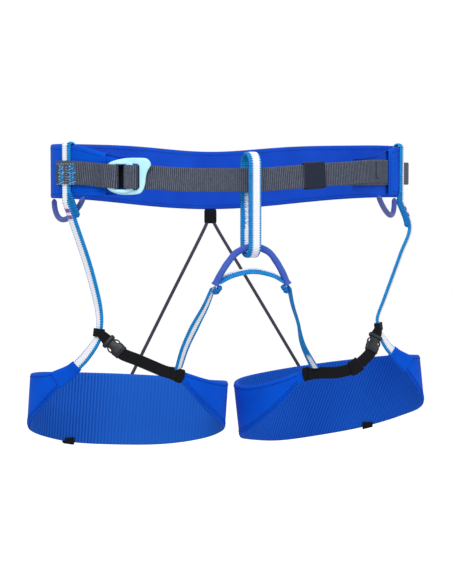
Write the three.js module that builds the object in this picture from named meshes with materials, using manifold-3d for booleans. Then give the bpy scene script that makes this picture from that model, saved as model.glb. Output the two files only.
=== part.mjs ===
// A sit harness for climbing: a padded waistbelt closed by a two-frame buckle, a sewn belay loop,
// a sheathed tie-in ring, and two padded leg loops hung on slings and elastic cords.
// Millimetres. +X is the wearer's left as seen from in front, +Y is the wearer's back, +Z is up.
// The origin is the centre of the waist opening, at the mid-height of the waist webbing.
import * as THREE from "three";
import { mergeVertices } from "three/addons/utils/BufferGeometryUtils.js";
import Module from "manifold-3d";

const wasm = await Module();
wasm.setup();

const { degToRad, lerp, smoothstep } = THREE.MathUtils;
const V = (x, y, z) => new THREE.Vector3(x, y, z);
const UP = V(0, 0, 1);
const ACROSS = V(1, 0, 0);

// ---- driving dimensions -------------------------------------------------------------------------
const GAP = 0.3; // running gap between pieces that touch
const WAIST_HALF_WIDTH = 197.5; // half axes of the waistbelt's plan, an ellipse
const WAIST_HALF_DEPTH = 95;
const WEBBING_WIDTH = 25;
const WEBBING_THICKNESS = 1.7;
const SLING_WIDTH = 12;
const SLING_THICKNESS = 2.2;
const FACING_THICKNESS = 0.9; // outer shell and lining of belt and leg pads
const FOAM_THICKNESS = 2;
const SHELL_INNER = FOAM_THICKNESS / 2 + GAP;
const SHELL_OUTER = SHELL_INNER + FACING_THICKNESS;
const LOOP_WIDTH = 16; // belay loop
const LOOP_THICKNESS = 3.5;
const LEG_CENTRE = 114; // from the middle plane to each leg loop's centre
const ELASTIC_WIDTH = 13; // the black leg straps
const ELASTIC_THICKNESS = 1.8;
const CORD_RADIUS = 1.9; // rear elastic cords

// Angles round the belt are measured from the back, in degrees; positive is towards +X.
const SLING_ANGLE = 110;
const SHELL_END = { left: -130.6, right: 123.2 };
const TONGUE_END = 143;

const COLOURS = {
  shell: { color: 0x0a50d2, roughness: 0.75, metalness: 0 },
  foam: { color: 0x2a2c33, roughness: 0.9, metalness: 0 },
  lining: { color: 0x1846c0, roughness: 0.85, metalness: 0 },
  webbing: { color: 0x55575f, roughness: 0.8, metalness: 0 },
  metal: { color: 0xa8eaf8, roughness: 0.35, metalness: 0.7 },
  sling: { color: 0xd8ecf8, roughness: 0.8, metalness: 0 },
  sheath: { color: 0x3c5cbe, roughness: 0.7, metalness: 0 },
  gear: { color: 0x4b5ba5, roughness: 0.5, metalness: 0 },
  black: { color: 0x14161c, roughness: 0.8, metalness: 0 },
  plastic: { color: 0x111318, roughness: 0.45, metalness: 0 },
  cord: { color: 0x41414f, roughness: 0.85, metalness: 0 },
};

const harness = new THREE.Group();

function add(name, finish, geometry) {
  const mesh = new THREE.Mesh(geometry, new THREE.MeshStandardMaterial(COLOURS[finish]));
  mesh.name = name;
  harness.add(mesh);
  return mesh;
}

// ---- surfaces -----------------------------------------------------------------------------------
// A closed body through a row of outlines, each an equal number of points in the same order.
function loft(outlines, closed = false) {
  const sides = outlines[0].length;
  const rows = outlines.length;
  const index = [];
  const vertex = (row, side) => (row % rows) * sides + (side % sides);
  for (let row = 0; row < rows - (closed ? 0 : 1); row++) {
    for (let side = 0; side < sides; side++) {
      const a = vertex(row, side);
      const b = vertex(row, side + 1);
      const c = vertex(row + 1, side + 1);
      const d = vertex(row + 1, side);
      index.push(a, b, c, a, c, d);
    }
  }
  for (let side = 1; side < sides - 1 && !closed; side++) {
    index.push(vertex(0, 0), vertex(0, side + 1), vertex(0, side));
    index.push(vertex(rows - 1, 0), vertex(rows - 1, side), vertex(rows - 1, side + 1));
  }
  const points = outlines.flat();
  const geometry = new THREE.BufferGeometry().setFromPoints(points);
  geometry.setIndex(volumeOf(points, index) < 0 ? index.reverse() : index);
  geometry.computeVertexNormals();
  return geometry;
}

function volumeOf(points, index) {
  let sixfold = 0;
  const cross = new THREE.Vector3();
  for (let i = 0; i < index.length; i += 3) {
    const [a, b, c] = [points[index[i]], points[index[i + 1]], points[index[i + 2]]];
    sixfold += a.dot(cross.crossVectors(b, c));
  }
  return sixfold / 6;
}

// A flat strap along points: `across` gives the direction of its width at each point.
function strap(points, across, width, thickness, closed = false) {
  const last = points.length - 1;
  const outlines = points.map((centre, i) => {
    const before = closed && i === 0 ? points[last] : points[Math.max(i - 1, 0)];
    const after = closed && i === last ? points[0] : points[Math.min(i + 1, last)];
    const along = after.clone().sub(before).normalize();
    const side = across(i / last).clone();
    side.addScaledVector(along, -side.dot(along)).normalize();
    const face = new THREE.Vector3().crossVectors(side, along);
    const corner = (a, b) =>
      centre.clone().addScaledVector(side, (a * width) / 2).addScaledVector(face, (b * thickness) / 2);
    return [corner(-1, -1), corner(1, -1), corner(1, 1), corner(-1, 1)];
  });
  return loft(outlines, closed);
}

const smooth = (points, steps) => new THREE.CatmullRomCurve3(points).getPoints(steps);

// The direction of a strap's width, turning evenly from one direction to the next.
function turning(...directions) {
  return (t) => {
    const place = t * (directions.length - 1);
    const from = Math.min(Math.floor(place), directions.length - 2);
    return directions[from].clone().lerp(directions[from + 1], place - from);
  };
}

// A round section, turned so that the middle of one flat lies at the angle `flatAt`.
function roundSection(radius, sides, flatAt = 0) {
  const shape = new THREE.Shape();
  for (let i = 0; i < sides; i++) {
    const angle = flatAt + ((i + 0.5) / sides) * 2 * Math.PI;
    const [x, y] = [radius * Math.cos(angle), radius * Math.sin(angle)];
    if (i === 0) shape.moveTo(x, y);
    else shape.lineTo(x, y);
  }
  shape.closePath();
  return shape;
}

function tube(curve, shape, steps) {
  return new THREE.ExtrudeGeometry(shape, { extrudePath: curve, steps, curveSegments: 8 });
}

function plate(shape, thickness) {
  const options = { depth: thickness, bevelEnabled: false, curveSegments: 5 };
  return new THREE.ExtrudeGeometry(shape, options);
}

function roundedRectangle(width, height, radius, Kind = THREE.Shape) {
  const [w, h] = [width / 2, height / 2];
  const shape = new Kind();
  shape.moveTo(-w + radius, -h);
  shape.lineTo(w - radius, -h);
  shape.absarc(w - radius, -h + radius, radius, -Math.PI / 2, 0);
  shape.absarc(w - radius, h - radius, radius, 0, Math.PI / 2);
  shape.absarc(-w + radius, h - radius, radius, Math.PI / 2, Math.PI);
  shape.absarc(-w + radius, -h + radius, radius, Math.PI, (3 * Math.PI) / 2);
  return shape;
}

// ---- cutting ------------------------------------------------------------------------------------
function solid(geometry) {
  const bare = geometry.clone();
  bare.deleteAttribute("normal");
  bare.deleteAttribute("uv");
  const merged = mergeVertices(bare, 1e-3);
  return new wasm.Manifold(
    new wasm.Mesh({
      numProp: 3,
      vertProperties: new Float32Array(merged.attributes.position.array),
      triVerts: new Uint32Array(merged.index.array),
    }),
  );
}

function cut(geometry, ...tools) {
  const body = tools.reduce((left, tool) => left.subtract(solid(tool)), solid(geometry));
  const mesh = body.getMesh();
  const result = new THREE.BufferGeometry();
  result.setAttribute("position", new THREE.BufferAttribute(mesh.vertProperties, 3));
  result.setIndex(new THREE.BufferAttribute(mesh.triVerts, 1));
  result.computeVertexNormals();
  return result;
}

const block = (width, height, depth, x, y, z) =>
  new THREE.BoxGeometry(width, height, depth).translate(x, y, z);

// ---- the waistbelt's plan -----------------------------------------------------------------------
// The point at an angle round the belt, set out from its middle surface by an offset.
function beltPoint(angle, offset, z) {
  const turn = degToRad(angle);
  const out = V(Math.sin(turn) / WAIST_HALF_WIDTH, Math.cos(turn) / WAIST_HALF_DEPTH, 0).normalize();
  return V(WAIST_HALF_WIDTH * Math.sin(turn), WAIST_HALF_DEPTH * Math.cos(turn), z).addScaledVector(out, offset);
}

function beltTop(angle) {
  const a = Math.abs(angle);
  const backDip = 7.3 * Math.exp(-((a / 22) ** 2));
  return 39 - backDip - 3 * smoothstep(a, 60, 110) - 14 * smoothstep(a, 112, TONGUE_END);
}

function beltBottom(angle) {
  const a = Math.abs(angle);
  const backDrop = 14.4 * Math.exp(-((a / 38) ** 2));
  return -20 - backDrop + 3 * smoothstep(a, 90, 125) + 3 * smoothstep(a, 125, TONGUE_END);
}

function beltLayer(from, to, inner, outer, inset, steps) {
  const outlines = [];
  for (let i = 0; i <= steps; i++) {
    const angle = lerp(from, to, i / steps);
    const top = beltTop(angle) - inset;
    const bottom = beltBottom(angle) + inset;
    outlines.push([
      beltPoint(angle, inner, bottom),
      beltPoint(angle, outer, bottom),
      beltPoint(angle, outer, top),
      beltPoint(angle, inner, top),
    ]);
  }
  return loft(outlines);
}

const BELT_STEPS = 60;
const FOAM_INSET = 2.5;
const WEBBING_ENTRY = 113; // where the waist webbing's fixed end meets the foam, under the shell

add("waistbelt_shell", "shell",
  beltLayer(SHELL_END.left, SHELL_END.right, SHELL_INNER, SHELL_OUTER, 0, BELT_STEPS));
add("waistbelt_foam", "foam",
  beltLayer(-TONGUE_END + 2, WEBBING_ENTRY - 1.5, -FOAM_THICKNESS / 2, FOAM_THICKNESS / 2, FOAM_INSET,
    BELT_STEPS));
add("waistbelt_lining", "lining",
  beltLayer(-TONGUE_END, TONGUE_END, -SHELL_OUTER, -SHELL_INNER, 0, BELT_STEPS));

// ---- the buckle's own frame: u along it to the right, n out from the wearer, w up ---------------
const BUCKLE_ORIGIN = V(-133.4, -76.3, 2.8);
const BUCKLE_TURN = degToRad(28);
const BUCKLE_U = V(Math.cos(BUCKLE_TURN), -Math.sin(BUCKLE_TURN), 0);
const BUCKLE_N = V(-Math.sin(BUCKLE_TURN), -Math.cos(BUCKLE_TURN), 0);
const FRAME_THICKNESS = 3;
const SLIDER_THICKNESS = 2.5;

function onBuckle(u, n) {
  return BUCKLE_ORIGIN.clone().addScaledVector(BUCKLE_U, u).addScaledVector(BUCKLE_N, n);
}

function placeOnBuckle(mesh, n) {
  mesh.matrixAutoUpdate = false;
  mesh.matrix.makeBasis(BUCKLE_U, UP, BUCKLE_N).setPosition(onBuckle(0, n));
}

function closedSpline(points, Kind = THREE.Shape) {
  const shape = new Kind();
  const ring = points.map(([x, y]) => V(x, y, 0));
  const outline = new THREE.CatmullRomCurve3(ring, true).getPoints(points.length * 4).slice(0, -1);
  shape.setFromPoints(outline.map((p) => new THREE.Vector2(p.x, p.y)));
  return shape;
}

function window(left, right, halfHeight, radius) {
  const opening = roundedRectangle(right - left, 2 * halfHeight, radius);
  const middle = (left + right) / 2;
  const moved = opening.getPoints(5).map((p) => new THREE.Vector2(p.x + middle, p.y));
  return new THREE.Path(moved);
}

// The outer frame is a rounded D whose right bar swells into a nose at its top.
const outerFrame = closedSpline([
  [-20, 0], [-18.5, -12], [-8, -17.6], [8, -18.6], [18, -16.6], [22.4, -9],
  [23.6, 0], [25.4, 6], [29, 13], [25.5, 18.4], [12, 19.8], [-5, 18.4], [-17.5, 13.5],
]);
outerFrame.holes.push(window(-9.5, 16.7, 13.3, 3));
placeOnBuckle(add("buckle_outer_frame", "metal", plate(outerFrame, FRAME_THICKNESS)), 0);

const sliderFrame = closedSpline([
  [-19.5, 0], [-18, -11], [-9, -15.8], [3, -16.6], [10.5, -12.5], [11, -4],
  [11, 4], [10.5, 12.5], [3, 16.9], [-9, 16.2], [-18, 11.5],
]);
sliderFrame.holes.push(window(-9.5, 3.7, 13.2, 2));
placeOnBuckle(add("buckle_slider", "metal", plate(sliderFrame, SLIDER_THICKNESS)), FRAME_THICKNESS + GAP);

// ---- grey webbing -------------------------------------------------------------------------------
const ON_SHELL = SHELL_OUTER + GAP + WEBBING_THICKNESS / 2;
const OVER_SLING = SHELL_OUTER + 2 * GAP + SLING_THICKNESS + WEBBING_THICKNESS / 2;

function bucklePieceZ(point) {
  return 2.8 + 4.7 * smoothstep(-point.x, 135, 190);
}

const strand = (...places) => places.map(([angle, offset]) => beltPoint(angle, offset, 0));

// Sewn to the panel, out to the buckle's left bars, back over itself and over the side sling.
const foldPath = [
  ...strand([-115.5, ON_SHELL], [-120, ON_SHELL], [-125, ON_SHELL]),
  onBuckle(-21, -1.6), onBuckle(-15, -1.4), onBuckle(-11, -1.3), onBuckle(-7.9, -1), onBuckle(-7, 1),
  onBuckle(-6.8, 2.9), onBuckle(-7, 4.9), onBuckle(-8.1, 6.7), onBuckle(-11, 7.3), onBuckle(-15, 7.3),
  onBuckle(-20, 7), onBuckle(-25.5, 4),
  ...strand([-126.5, OVER_SLING], [-120, OVER_SLING], [-114.5, OVER_SLING], [-110, OVER_SLING],
    [-105.8, OVER_SLING], [-103.2, ON_SHELL], [-101, ON_SHELL]),
];
const foldPoints = smooth(foldPath, 72);
foldPoints.forEach((p) => p.setZ(bucklePieceZ(p)));
add("buckle_webbing", "webbing", strap(foldPoints, () => UP, WEBBING_WIDTH, WEBBING_THICKNESS));

// The waist webbing: fixed under the right side of the shell, round the front, up through the
// buckle, over the slider's bar and back along its own outside to a free end.
const MAIN_OFFSET = 3.4;
const TAIL_OFFSET = MAIN_OFFSET + WEBBING_THICKNESS + 0.4;
const FREE_END = 124.3;

const mainOffset = (angle) => 0.05 + (MAIN_OFFSET - 0.05) * smoothstep(angle, 124, 142);
const tailOffset = (angle) => TAIL_OFFSET - (MAIN_OFFSET - 0.05) * (1 - smoothstep(angle, 124, 142));
const mainZ = (x) => -0.4 + 6.5 * smoothstep(x, -10, 110) + 3.2 * smoothstep(-x, 60, 130);
const tailZ = (x) => mainZ(x) + 3 * smoothstep(x, 90, 150);

function alongFront(from, to, steps, offset, height) {
  const points = [];
  for (let i = 0; i <= steps; i++) {
    const angle = lerp(from, to, i / steps);
    const point = beltPoint(angle, offset(angle), 0);
    points.push(point.setZ(height(point.x)));
  }
  return points;
}

const BUCKLE_SIDE = 213.5; // the angle at which the strands reach the buckle
const wrap = smooth(
  [
    onBuckle(19.5, -4.6), onBuckle(13, -4.6), onBuckle(7.5, -4), onBuckle(3.4, -2.4), onBuckle(1.7, 0.5),
    onBuckle(1.3, 3.5), onBuckle(1.9, 6.2), onBuckle(4.4, 7.4), onBuckle(7.8, 7.5), onBuckle(11.2, 7.4),
    onBuckle(13.5, 6), onBuckle(14.3, 3.4), onBuckle(14.4, 0.9), onBuckle(15.6, -2), onBuckle(20, -2.8),
  ],
  42,
);
wrap.forEach((p) => p.setZ(mainZ(p.x)));
const waistPoints = [
  ...alongFront(WEBBING_ENTRY, BUCKLE_SIDE, 44, mainOffset, mainZ),
  ...wrap,
  ...alongFront(BUCKLE_SIDE, FREE_END, 40, tailOffset, tailZ),
];
add("waist_webbing", "webbing", strap(waistPoints, () => UP, WEBBING_WIDTH, WEBBING_THICKNESS));

const stubPoints = alongFront(98.5, 105.6, 6, () => ON_SHELL, () => 6.5);
add("right_webbing_end", "webbing", strap(stubPoints, () => UP, WEBBING_WIDTH, WEBBING_THICKNESS));

// ---- the keeper: an elastic sleeve over both strands --------------------------------------------
const KEEPER = { angle: 160, length: 24, height: 29.6, wall: 1.2, room: 1 };
const keeperDepth = 2 * WEBBING_THICKNESS + 0.4 + 2 * (KEEPER.room + KEEPER.wall);
const keeperMiddle = (MAIN_OFFSET + TAIL_OFFSET) / 2;
const keeperCentre = beltPoint(KEEPER.angle, keeperMiddle, 0);
keeperCentre.z = mainZ(keeperCentre.x);
const keeperAhead = beltPoint(KEEPER.angle - 3, keeperMiddle, 0);
const keeperBehind = beltPoint(KEEPER.angle + 3, keeperMiddle, 0);
keeperAhead.z = mainZ(keeperAhead.x);
keeperBehind.z = mainZ(keeperBehind.x);
const keeperAlong = keeperAhead.sub(keeperBehind).normalize();
const keeperOut = new THREE.Vector3().crossVectors(UP, keeperAlong).negate().normalize();
const sleeve = roundedRectangle(keeperDepth, KEEPER.height, 2);
sleeve.holes.push(roundedRectangle(keeperDepth - 2 * KEEPER.wall, KEEPER.height - 2 * KEEPER.wall, 1, THREE.Path));
const keeper = add("webbing_keeper", "black",
  plate(sleeve, KEEPER.length).translate(0, 0, -KEEPER.length / 2));
keeper.matrixAutoUpdate = false;
keeper.matrix
  .makeBasis(keeperOut, new THREE.Vector3().crossVectors(keeperAlong, keeperOut), keeperAlong)
  .setPosition(keeperCentre);

// ---- belay loop and tie-in ring -----------------------------------------------------------------
const LOOP_MIDDLE_Y = -98.5;
const LOOP_RADIUS = 12.2; // of its ends, at mid-thickness
const LOOP_TOP = 29;
const LOOP_BOTTOM = -82.4;
const END_STEPS = 9; // odd, so that the lowest facet is level

function loopEnd(centreZ, fromDegrees) {
  const points = [];
  for (let i = 0; i <= END_STEPS; i++) {
    const turn = degToRad(fromDegrees + (180 * i) / END_STEPS);
    points.push(V(0, LOOP_MIDDLE_Y + LOOP_RADIUS * Math.cos(turn), centreZ + LOOP_RADIUS * Math.sin(turn)));
  }
  return points;
}

const loopPoints = [
  ...loopEnd(LOOP_TOP - LOOP_THICKNESS / 2 - LOOP_RADIUS, 0),
  ...loopEnd(LOOP_BOTTOM + LOOP_THICKNESS / 2 + LOOP_RADIUS, 180),
];
add("belay_loop", "sling", strap(loopPoints, () => ACROSS, LOOP_WIDTH, LOOP_THICKNESS, true));

const RING_END = V(40, -92, -111.5);
const SHEATH_RADIUS = 3.9;
const RING_REST = 4.3; // the ring's height above the belay loop's lowest inner face
const RING_APEX = LOOP_BOTTOM + LOOP_THICKNESS + RING_REST + SHEATH_RADIUS;
const ringHalf = [V(17, -97.4, -76.4), V(26, -95.6, -86.5), V(32.7, -94, -97), RING_END];
const ringCurve = new THREE.CatmullRomCurve3([
  ...ringHalf.map((p) => V(-p.x, p.y, p.z)).reverse(),
  V(0, LOOP_MIDDLE_Y, RING_APEX),
  ...ringHalf,
]);
const RING_STEPS = 25; // odd, so that the facet at the apex is level along the ring
const SHEATH_WALL = 1.3;
const ringFrames = ringCurve.computeFrenetFrames(RING_STEPS, false);
const apexStep = (RING_STEPS - 1) / 2;
const levelFlat = Math.atan2(ringFrames.binormals[apexStep].z, ringFrames.normals[apexStep].z);
const sheathSection = roundSection(SHEATH_RADIUS, 8, levelFlat);
sheathSection.holes.push(
  new THREE.Path(roundSection(SHEATH_RADIUS - SHEATH_WALL, 8, levelFlat).getPoints()));
const ringCore = roundSection(SHEATH_RADIUS - SHEATH_WALL - GAP, 8, levelFlat);
add("tie_in_sheath", "sheath", tube(ringCurve, sheathSection, RING_STEPS));
add("tie_in_webbing", "sling", tube(ringCurve, ringCore, RING_STEPS));

const crossPoints = smooth([V(-33, -92.5, -113), V(-20, -94, -105.5), V(0, -95, -100.5), V(20, -94, -105.5),
  V(33, -92.5, -113)], 16);
add("tie_in_cross_sling", "sling", strap(crossPoints, () => V(0, 0.85, 0.5), SLING_WIDTH - 2, SLING_THICKNESS));

// ---- sides --------------------------------------------------------------------------------------
// Each side is laid out for the right and mirrored. The two legs hang a little differently:
// `top` is the height of the pad's upper edge at the back, `tilt` lifts its outer side, and
// `gearEnds` are the angles round the belt of the gear loop's two ends.
const SIDES = [
  {
    name: "left",
    mirror: -1,
    tilt: degToRad(4),
    top: -220,
    innerTipRise: 5,
    lower: [4, -22, -42, -54, -68, -78, -81, -79, -69, -55, -33, 4],
    tabAt: 0.673,
    gearEnds: [81, 119],
    sling: [V(178, -37, -56), V(166, -42, -95), V(156.5, -47, -138)],
    buckleEnd: V(135, -65, -184),
    strap: [V(119, -65, -190.5), V(102, -62.5, -197.5), V(88, -59, -202)],
  },
  {
    name: "right",
    mirror: 1,
    tilt: degToRad(6.3),
    top: -215.2,
    innerTipRise: -2,
    lower: [4, -27, -49, -61, -72, -82, -84, -81, -71, -58, -37, 4],
    tabAt: 0.69,
    gearEnds: [84, 129],
    sling: [V(198.5, -36, -53), V(186, -41, -83), V(165.5, -46, -132)],
    buckleEnd: V(143.5, -64, -189),
    strap: [V(124, -66, -205.5), V(106, -64, -211), V(88, -60, -211.5)],
  },
];

// Round a pad from its inner tip by the back to its outer tip: out from the leg's centre, back,
// and the height of its upper edge above the upper edge at the back. Each side's `lower` gives
// the heights of its lower edge at the same places, and `tabAt` how far round its black tab is.
const PAD_OUTLINE = [
  [-42, -50, 13], [-74, -43, 3], [-99, -25, -2], [-107.6, 2, -1], [-92, 33, 0], [-52, 52, 0],
  [0, 58, 0], [52, 52, 0], [92, 32, 1], [107.6, 3, 2], [98, -19, 5], [73, -32, 13],
];
const PAD_STEPS = 48;

function legPoint(side, x, y, z) {
  const [c, s] = [Math.cos(side.tilt), Math.sin(side.tilt)];
  return V(LEG_CENTRE + x * c - z * s, y, side.top + x * s + z * c);
}

// Matching points along a pad's upper and lower edges, offset outwards from its middle surface.
function padEdges(side, offset, inset) {
  const edge = (heights) =>
    new THREE.CatmullRomCurve3(PAD_OUTLINE.map(([x, y], i) => {
      const rise = i === 0 ? side.innerTipRise : 0;
      return V(x, y, heights[i] + rise);
    }), false, "catmullrom", 0.5);
  const upper = edge(PAD_OUTLINE.map((row) => row[2]));
  const lower = edge(side.lower);
  return (t) => {
    const [top, bottom] = [upper.getPoint(t), lower.getPoint(t)];
    const along = upper.getTangent(t);
    const out = V(-along.y, along.x, 0).normalize().multiplyScalar(offset);
    const high = legPoint(side, top.x + out.x, top.y + out.y, top.z - inset);
    const low = legPoint(side, bottom.x + out.x, bottom.y + out.y, bottom.z + inset);
    return [low, high];
  };
}

function padLayer(side, inner, outer, inset, from = 0, to = 1) {
  const [inside, outside] = [padEdges(side, inner, inset), padEdges(side, outer, inset)];
  const outlines = [];
  for (let i = 0; i <= PAD_STEPS; i++) {
    const t = lerp(from, to, i / PAD_STEPS);
    const [innerLow, innerHigh] = inside(t);
    const [outerLow, outerHigh] = outside(t);
    outlines.push([innerLow, outerLow, outerHigh, innerHigh]);
  }
  return loft(outlines);
}

// A closed hoop of strap round a line, seen along the line as a rounded rectangle.
function hoop(centre, along, across, width, depth, length, thickness) {
  const side = across.clone().addScaledVector(along, -across.dot(along)).normalize();
  const face = new THREE.Vector3().crossVectors(along, side);
  const outline = roundedRectangle(width, depth, Math.min(width, depth) * 0.35).getPoints(3).slice(0, -1);
  const points = outline.map((p) => centre.clone().addScaledVector(side, p.x).addScaledVector(face, p.y));
  return strap(points, () => along, length, thickness, true);
}

// The side-release buckle's own frame: x across it, y out from the leg, z from plug to socket.
const PLUG = { width: 16, thickness: 5.6, base: 4.5, cavityWidth: 13.2, cavityThickness: 3.2, prong: 11.5 };
const SOCKET_LENGTH = 17;

function socketGeometry() {
  const start = PLUG.base + GAP;
  const depth = PLUG.prong + 1.5;
  const section = roundedRectangle(PLUG.width, PLUG.thickness, 1.8);
  const body = plate(section, SOCKET_LENGTH).translate(0, 0, start);
  const cavity = block(PLUG.cavityWidth, PLUG.cavityThickness, depth + 1, 0, 0, start + depth / 2 - 0.5);
  const sideWindow = block(PLUG.width + 2, PLUG.cavityThickness - 0.6, 5.5, 0, 0, start + 6.5);
  const strapSlot = block(PLUG.cavityWidth, PLUG.thickness + 2, 1.8, 0, 0, start + SOCKET_LENGTH - 2.4);
  return cut(body, cavity, sideWindow, strapSlot);
}

function plugGeometry() {
  const base = plate(roundedRectangle(PLUG.width, PLUG.thickness, 1.8), PLUG.base);
  const strapSlot = block(PLUG.cavityWidth, PLUG.thickness + 2, 1.8, 0, 0, 2);
  return cut(base, strapSlot);
}

// One springy arm of the plug, with its shoulder towards the socket's side window.
function prongGeometry() {
  const arm = new THREE.Shape();
  arm.moveTo(2.8, 0);
  arm.lineTo(5, 0);
  arm.lineTo(5.2, 4.2);
  arm.lineTo(6.3, 5);
  arm.lineTo(6.3, 8.2);
  arm.lineTo(4.6, PLUG.prong);
  arm.lineTo(3.4, PLUG.prong);
  arm.lineTo(3.2, 5);
  arm.closePath();
  return plate(arm, 2.4).translate(0, 0, -1.2).rotateX(Math.PI / 2).translate(0, 0, PLUG.base + GAP);
}

// A gear loop hangs in the upright plane through its two ends, just under the belt's lower edge.
const GEAR_DROP = 23;
const GEAR_RADIUS = 2.8;

function gearCurve(ends) {
  const [rear, front] = ends.map((angle) => beltPoint(angle, 0, beltBottom(angle) - 2.5 * GAP));
  const points = [];
  for (let i = 0; i <= 12; i++) {
    const turn = (Math.PI * i) / 12;
    const place = rear.clone().lerp(front, (1 - Math.cos(turn)) / 2);
    place.z -= GEAR_DROP * Math.sin(turn) ** 0.8;
    points.push(place);
  }
  return new THREE.CatmullRomCurve3(points);
}

const LOOP_PLACE = V(157, -50, -163); // where each side sling passes through its leg strap's hoop
const HOOP_LENGTH = 9;
const HOOP_LINE = V(0.12, -0.02, -1).normalize(); // the sling's direction through the hoop
const HOOP_ACROSS = V(0.9, 0.4, 0);

function buildBelt(side, piece) {
  const slingAt = (offset, z) => beltPoint(SLING_ANGLE, offset, z);
  const inside = SHELL_OUTER + GAP + SLING_THICKNESS / 2;
  const crest = beltTop(SLING_ANGLE - 4) + GAP + SLING_THICKNESS / 2;
  const foot = beltBottom(SLING_ANGLE) - 6;
  const beltRun = [
    slingAt(-inside - 0.6, crest - 17), slingAt(-inside - 0.6, crest - 4), slingAt(-inside - 0.4, crest - 1),
    slingAt(-inside * 0.6, crest + 1), slingAt(0, crest + 1.6), slingAt(inside * 0.6, crest + 1),
    slingAt(inside, crest - 1), slingAt(inside, crest - 4), slingAt(inside, 15), slingAt(inside, -5),
    slingAt(inside, foot),
  ];
  const beltPoints = smooth(beltRun, 40);
  const atHoop = (distance) => LOOP_PLACE.clone().addScaledVector(HOOP_LINE, distance);
  const freeRun = [slingAt(inside, foot), ...side.sling, atHoop(-HOOP_LENGTH), atHoop(-0.6)];
  const freePoints = smooth(freeRun, 14).slice(1);
  const points = [...beltPoints, ...freePoints];
  const face = slingAt(1, 0).sub(slingAt(0, 0));
  const onBelt = new THREE.Vector3().crossVectors(UP, face);
  const joint = beltPoints.length / points.length;
  const across = (t) => onBelt.clone().lerp(HOOP_ACROSS, Math.max(0, (t - joint) / (1 - joint)));
  piece("side_sling", "sling", strap(points, across, SLING_WIDTH, SLING_THICKNESS));
  piece("gear_loop", "gear", tube(gearCurve(side.gearEnds), roundSection(GEAR_RADIUS, 8), 24));
}

function buildPad(side, piece) {
  piece("leg_shell", "shell", padLayer(side, SHELL_INNER, SHELL_OUTER, 0));
  piece("leg_foam", "foam", padLayer(side, -FOAM_THICKNESS / 2, FOAM_THICKNESS / 2, 2, 0.08, 0.92));
  piece("leg_lining", "lining", padLayer(side, -SHELL_OUTER, -SHELL_INNER, 0));
}

// The straight line of the leg buckle, from the hoop to the start of the elastic strap.
function buckleFrame(side) {
  const along = side.buckleEnd.clone().sub(LOOP_PLACE).normalize();
  const out = V(0, -1, 0).addScaledVector(along, along.y).normalize();
  const acrossBuckle = new THREE.Vector3().crossVectors(out, along);
  const length = PLUG.base + GAP + SOCKET_LENGTH;
  const start = side.buckleEnd.clone().addScaledVector(along, -length);
  return new THREE.Matrix4().makeBasis(acrossBuckle, out, along).setPosition(start);
}

function buildLegStrap(side, piece) {
  const frame = buckleFrame(side);
  const parts = [
    piece("plug", "plastic", plugGeometry()),
    piece("socket", "plastic", socketGeometry()),
    piece("prong_a", "plastic", prongGeometry()),
    piece("prong_b", "plastic", prongGeometry().rotateZ(Math.PI)),
  ];
  for (const part of parts) {
    part.matrixAutoUpdate = false;
    part.matrix.copy(frame);
  }

  const tip = padEdges(side, 0, 0)(0);
  const tipMiddle = tip[0].clone().lerp(tip[1], 0.5);
  const along = side.buckleEnd.clone().sub(LOOP_PLACE).normalize();
  const strapStart = side.buckleEnd.clone().addScaledVector(along, 1.2);
  const strapEnd = tipMiddle.clone().add(V(3.6, -0.6, 0.2));
  const strapPoints = smooth([strapStart, strapStart.clone().addScaledVector(along, 3), ...side.strap, strapEnd], 18);
  const width = turning(new THREE.Vector3().setFromMatrixColumn(frame, 0), V(-0.3, 0, -1));
  piece("leg_strap", "black", strap(strapPoints, width, ELASTIC_WIDTH, ELASTIC_THICKNESS));

  piece("strap_hoop", "black",
    hoop(LOOP_PLACE, HOOP_LINE, HOOP_ACROSS, SLING_WIDTH + 3.8, 6.8, HOOP_LENGTH, 1.4));

  const outerTip = padEdges(side, 0, 0)(1);
  const outerMiddle = outerTip[0].clone().lerp(outerTip[1], 0.5);
  const lowerPoints = smooth([
    LOOP_PLACE.clone().addScaledVector(HOOP_LINE, 0.6), LOOP_PLACE.clone().addScaledVector(HOOP_LINE, 5),
    LOOP_PLACE.clone().lerp(outerMiddle, 0.55).add(V(-3, -2, -2)), outerMiddle.clone().add(V(-2.6, -1.8, 2)),
  ], 12);
  piece("lower_sling", "sling",
    strap(lowerPoints, turning(HOOP_ACROSS, V(0.75, 0.4, -0.2), V(0.5, 0.3, -0.75)), SLING_WIDTH - 1, SLING_THICKNESS));

  const frontStart = RING_END.clone().add(V(1.6, 0.8, -2));
  const frontEnd = tipMiddle.clone().add(V(-0.5, -1, 5.5));
  const frontPoints = smooth([frontStart, V(48, -83, -134), V(57, -74, -155), V(66, -63, -180), frontEnd], 16);
  piece("front_sling", "sling",
    strap(frontPoints, turning(V(0.6, -0.8, 0), V(0.85, -0.4, 0.2), V(0.6, -0.7, 0.3)), SLING_WIDTH,
      SLING_THICKNESS));
}

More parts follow.
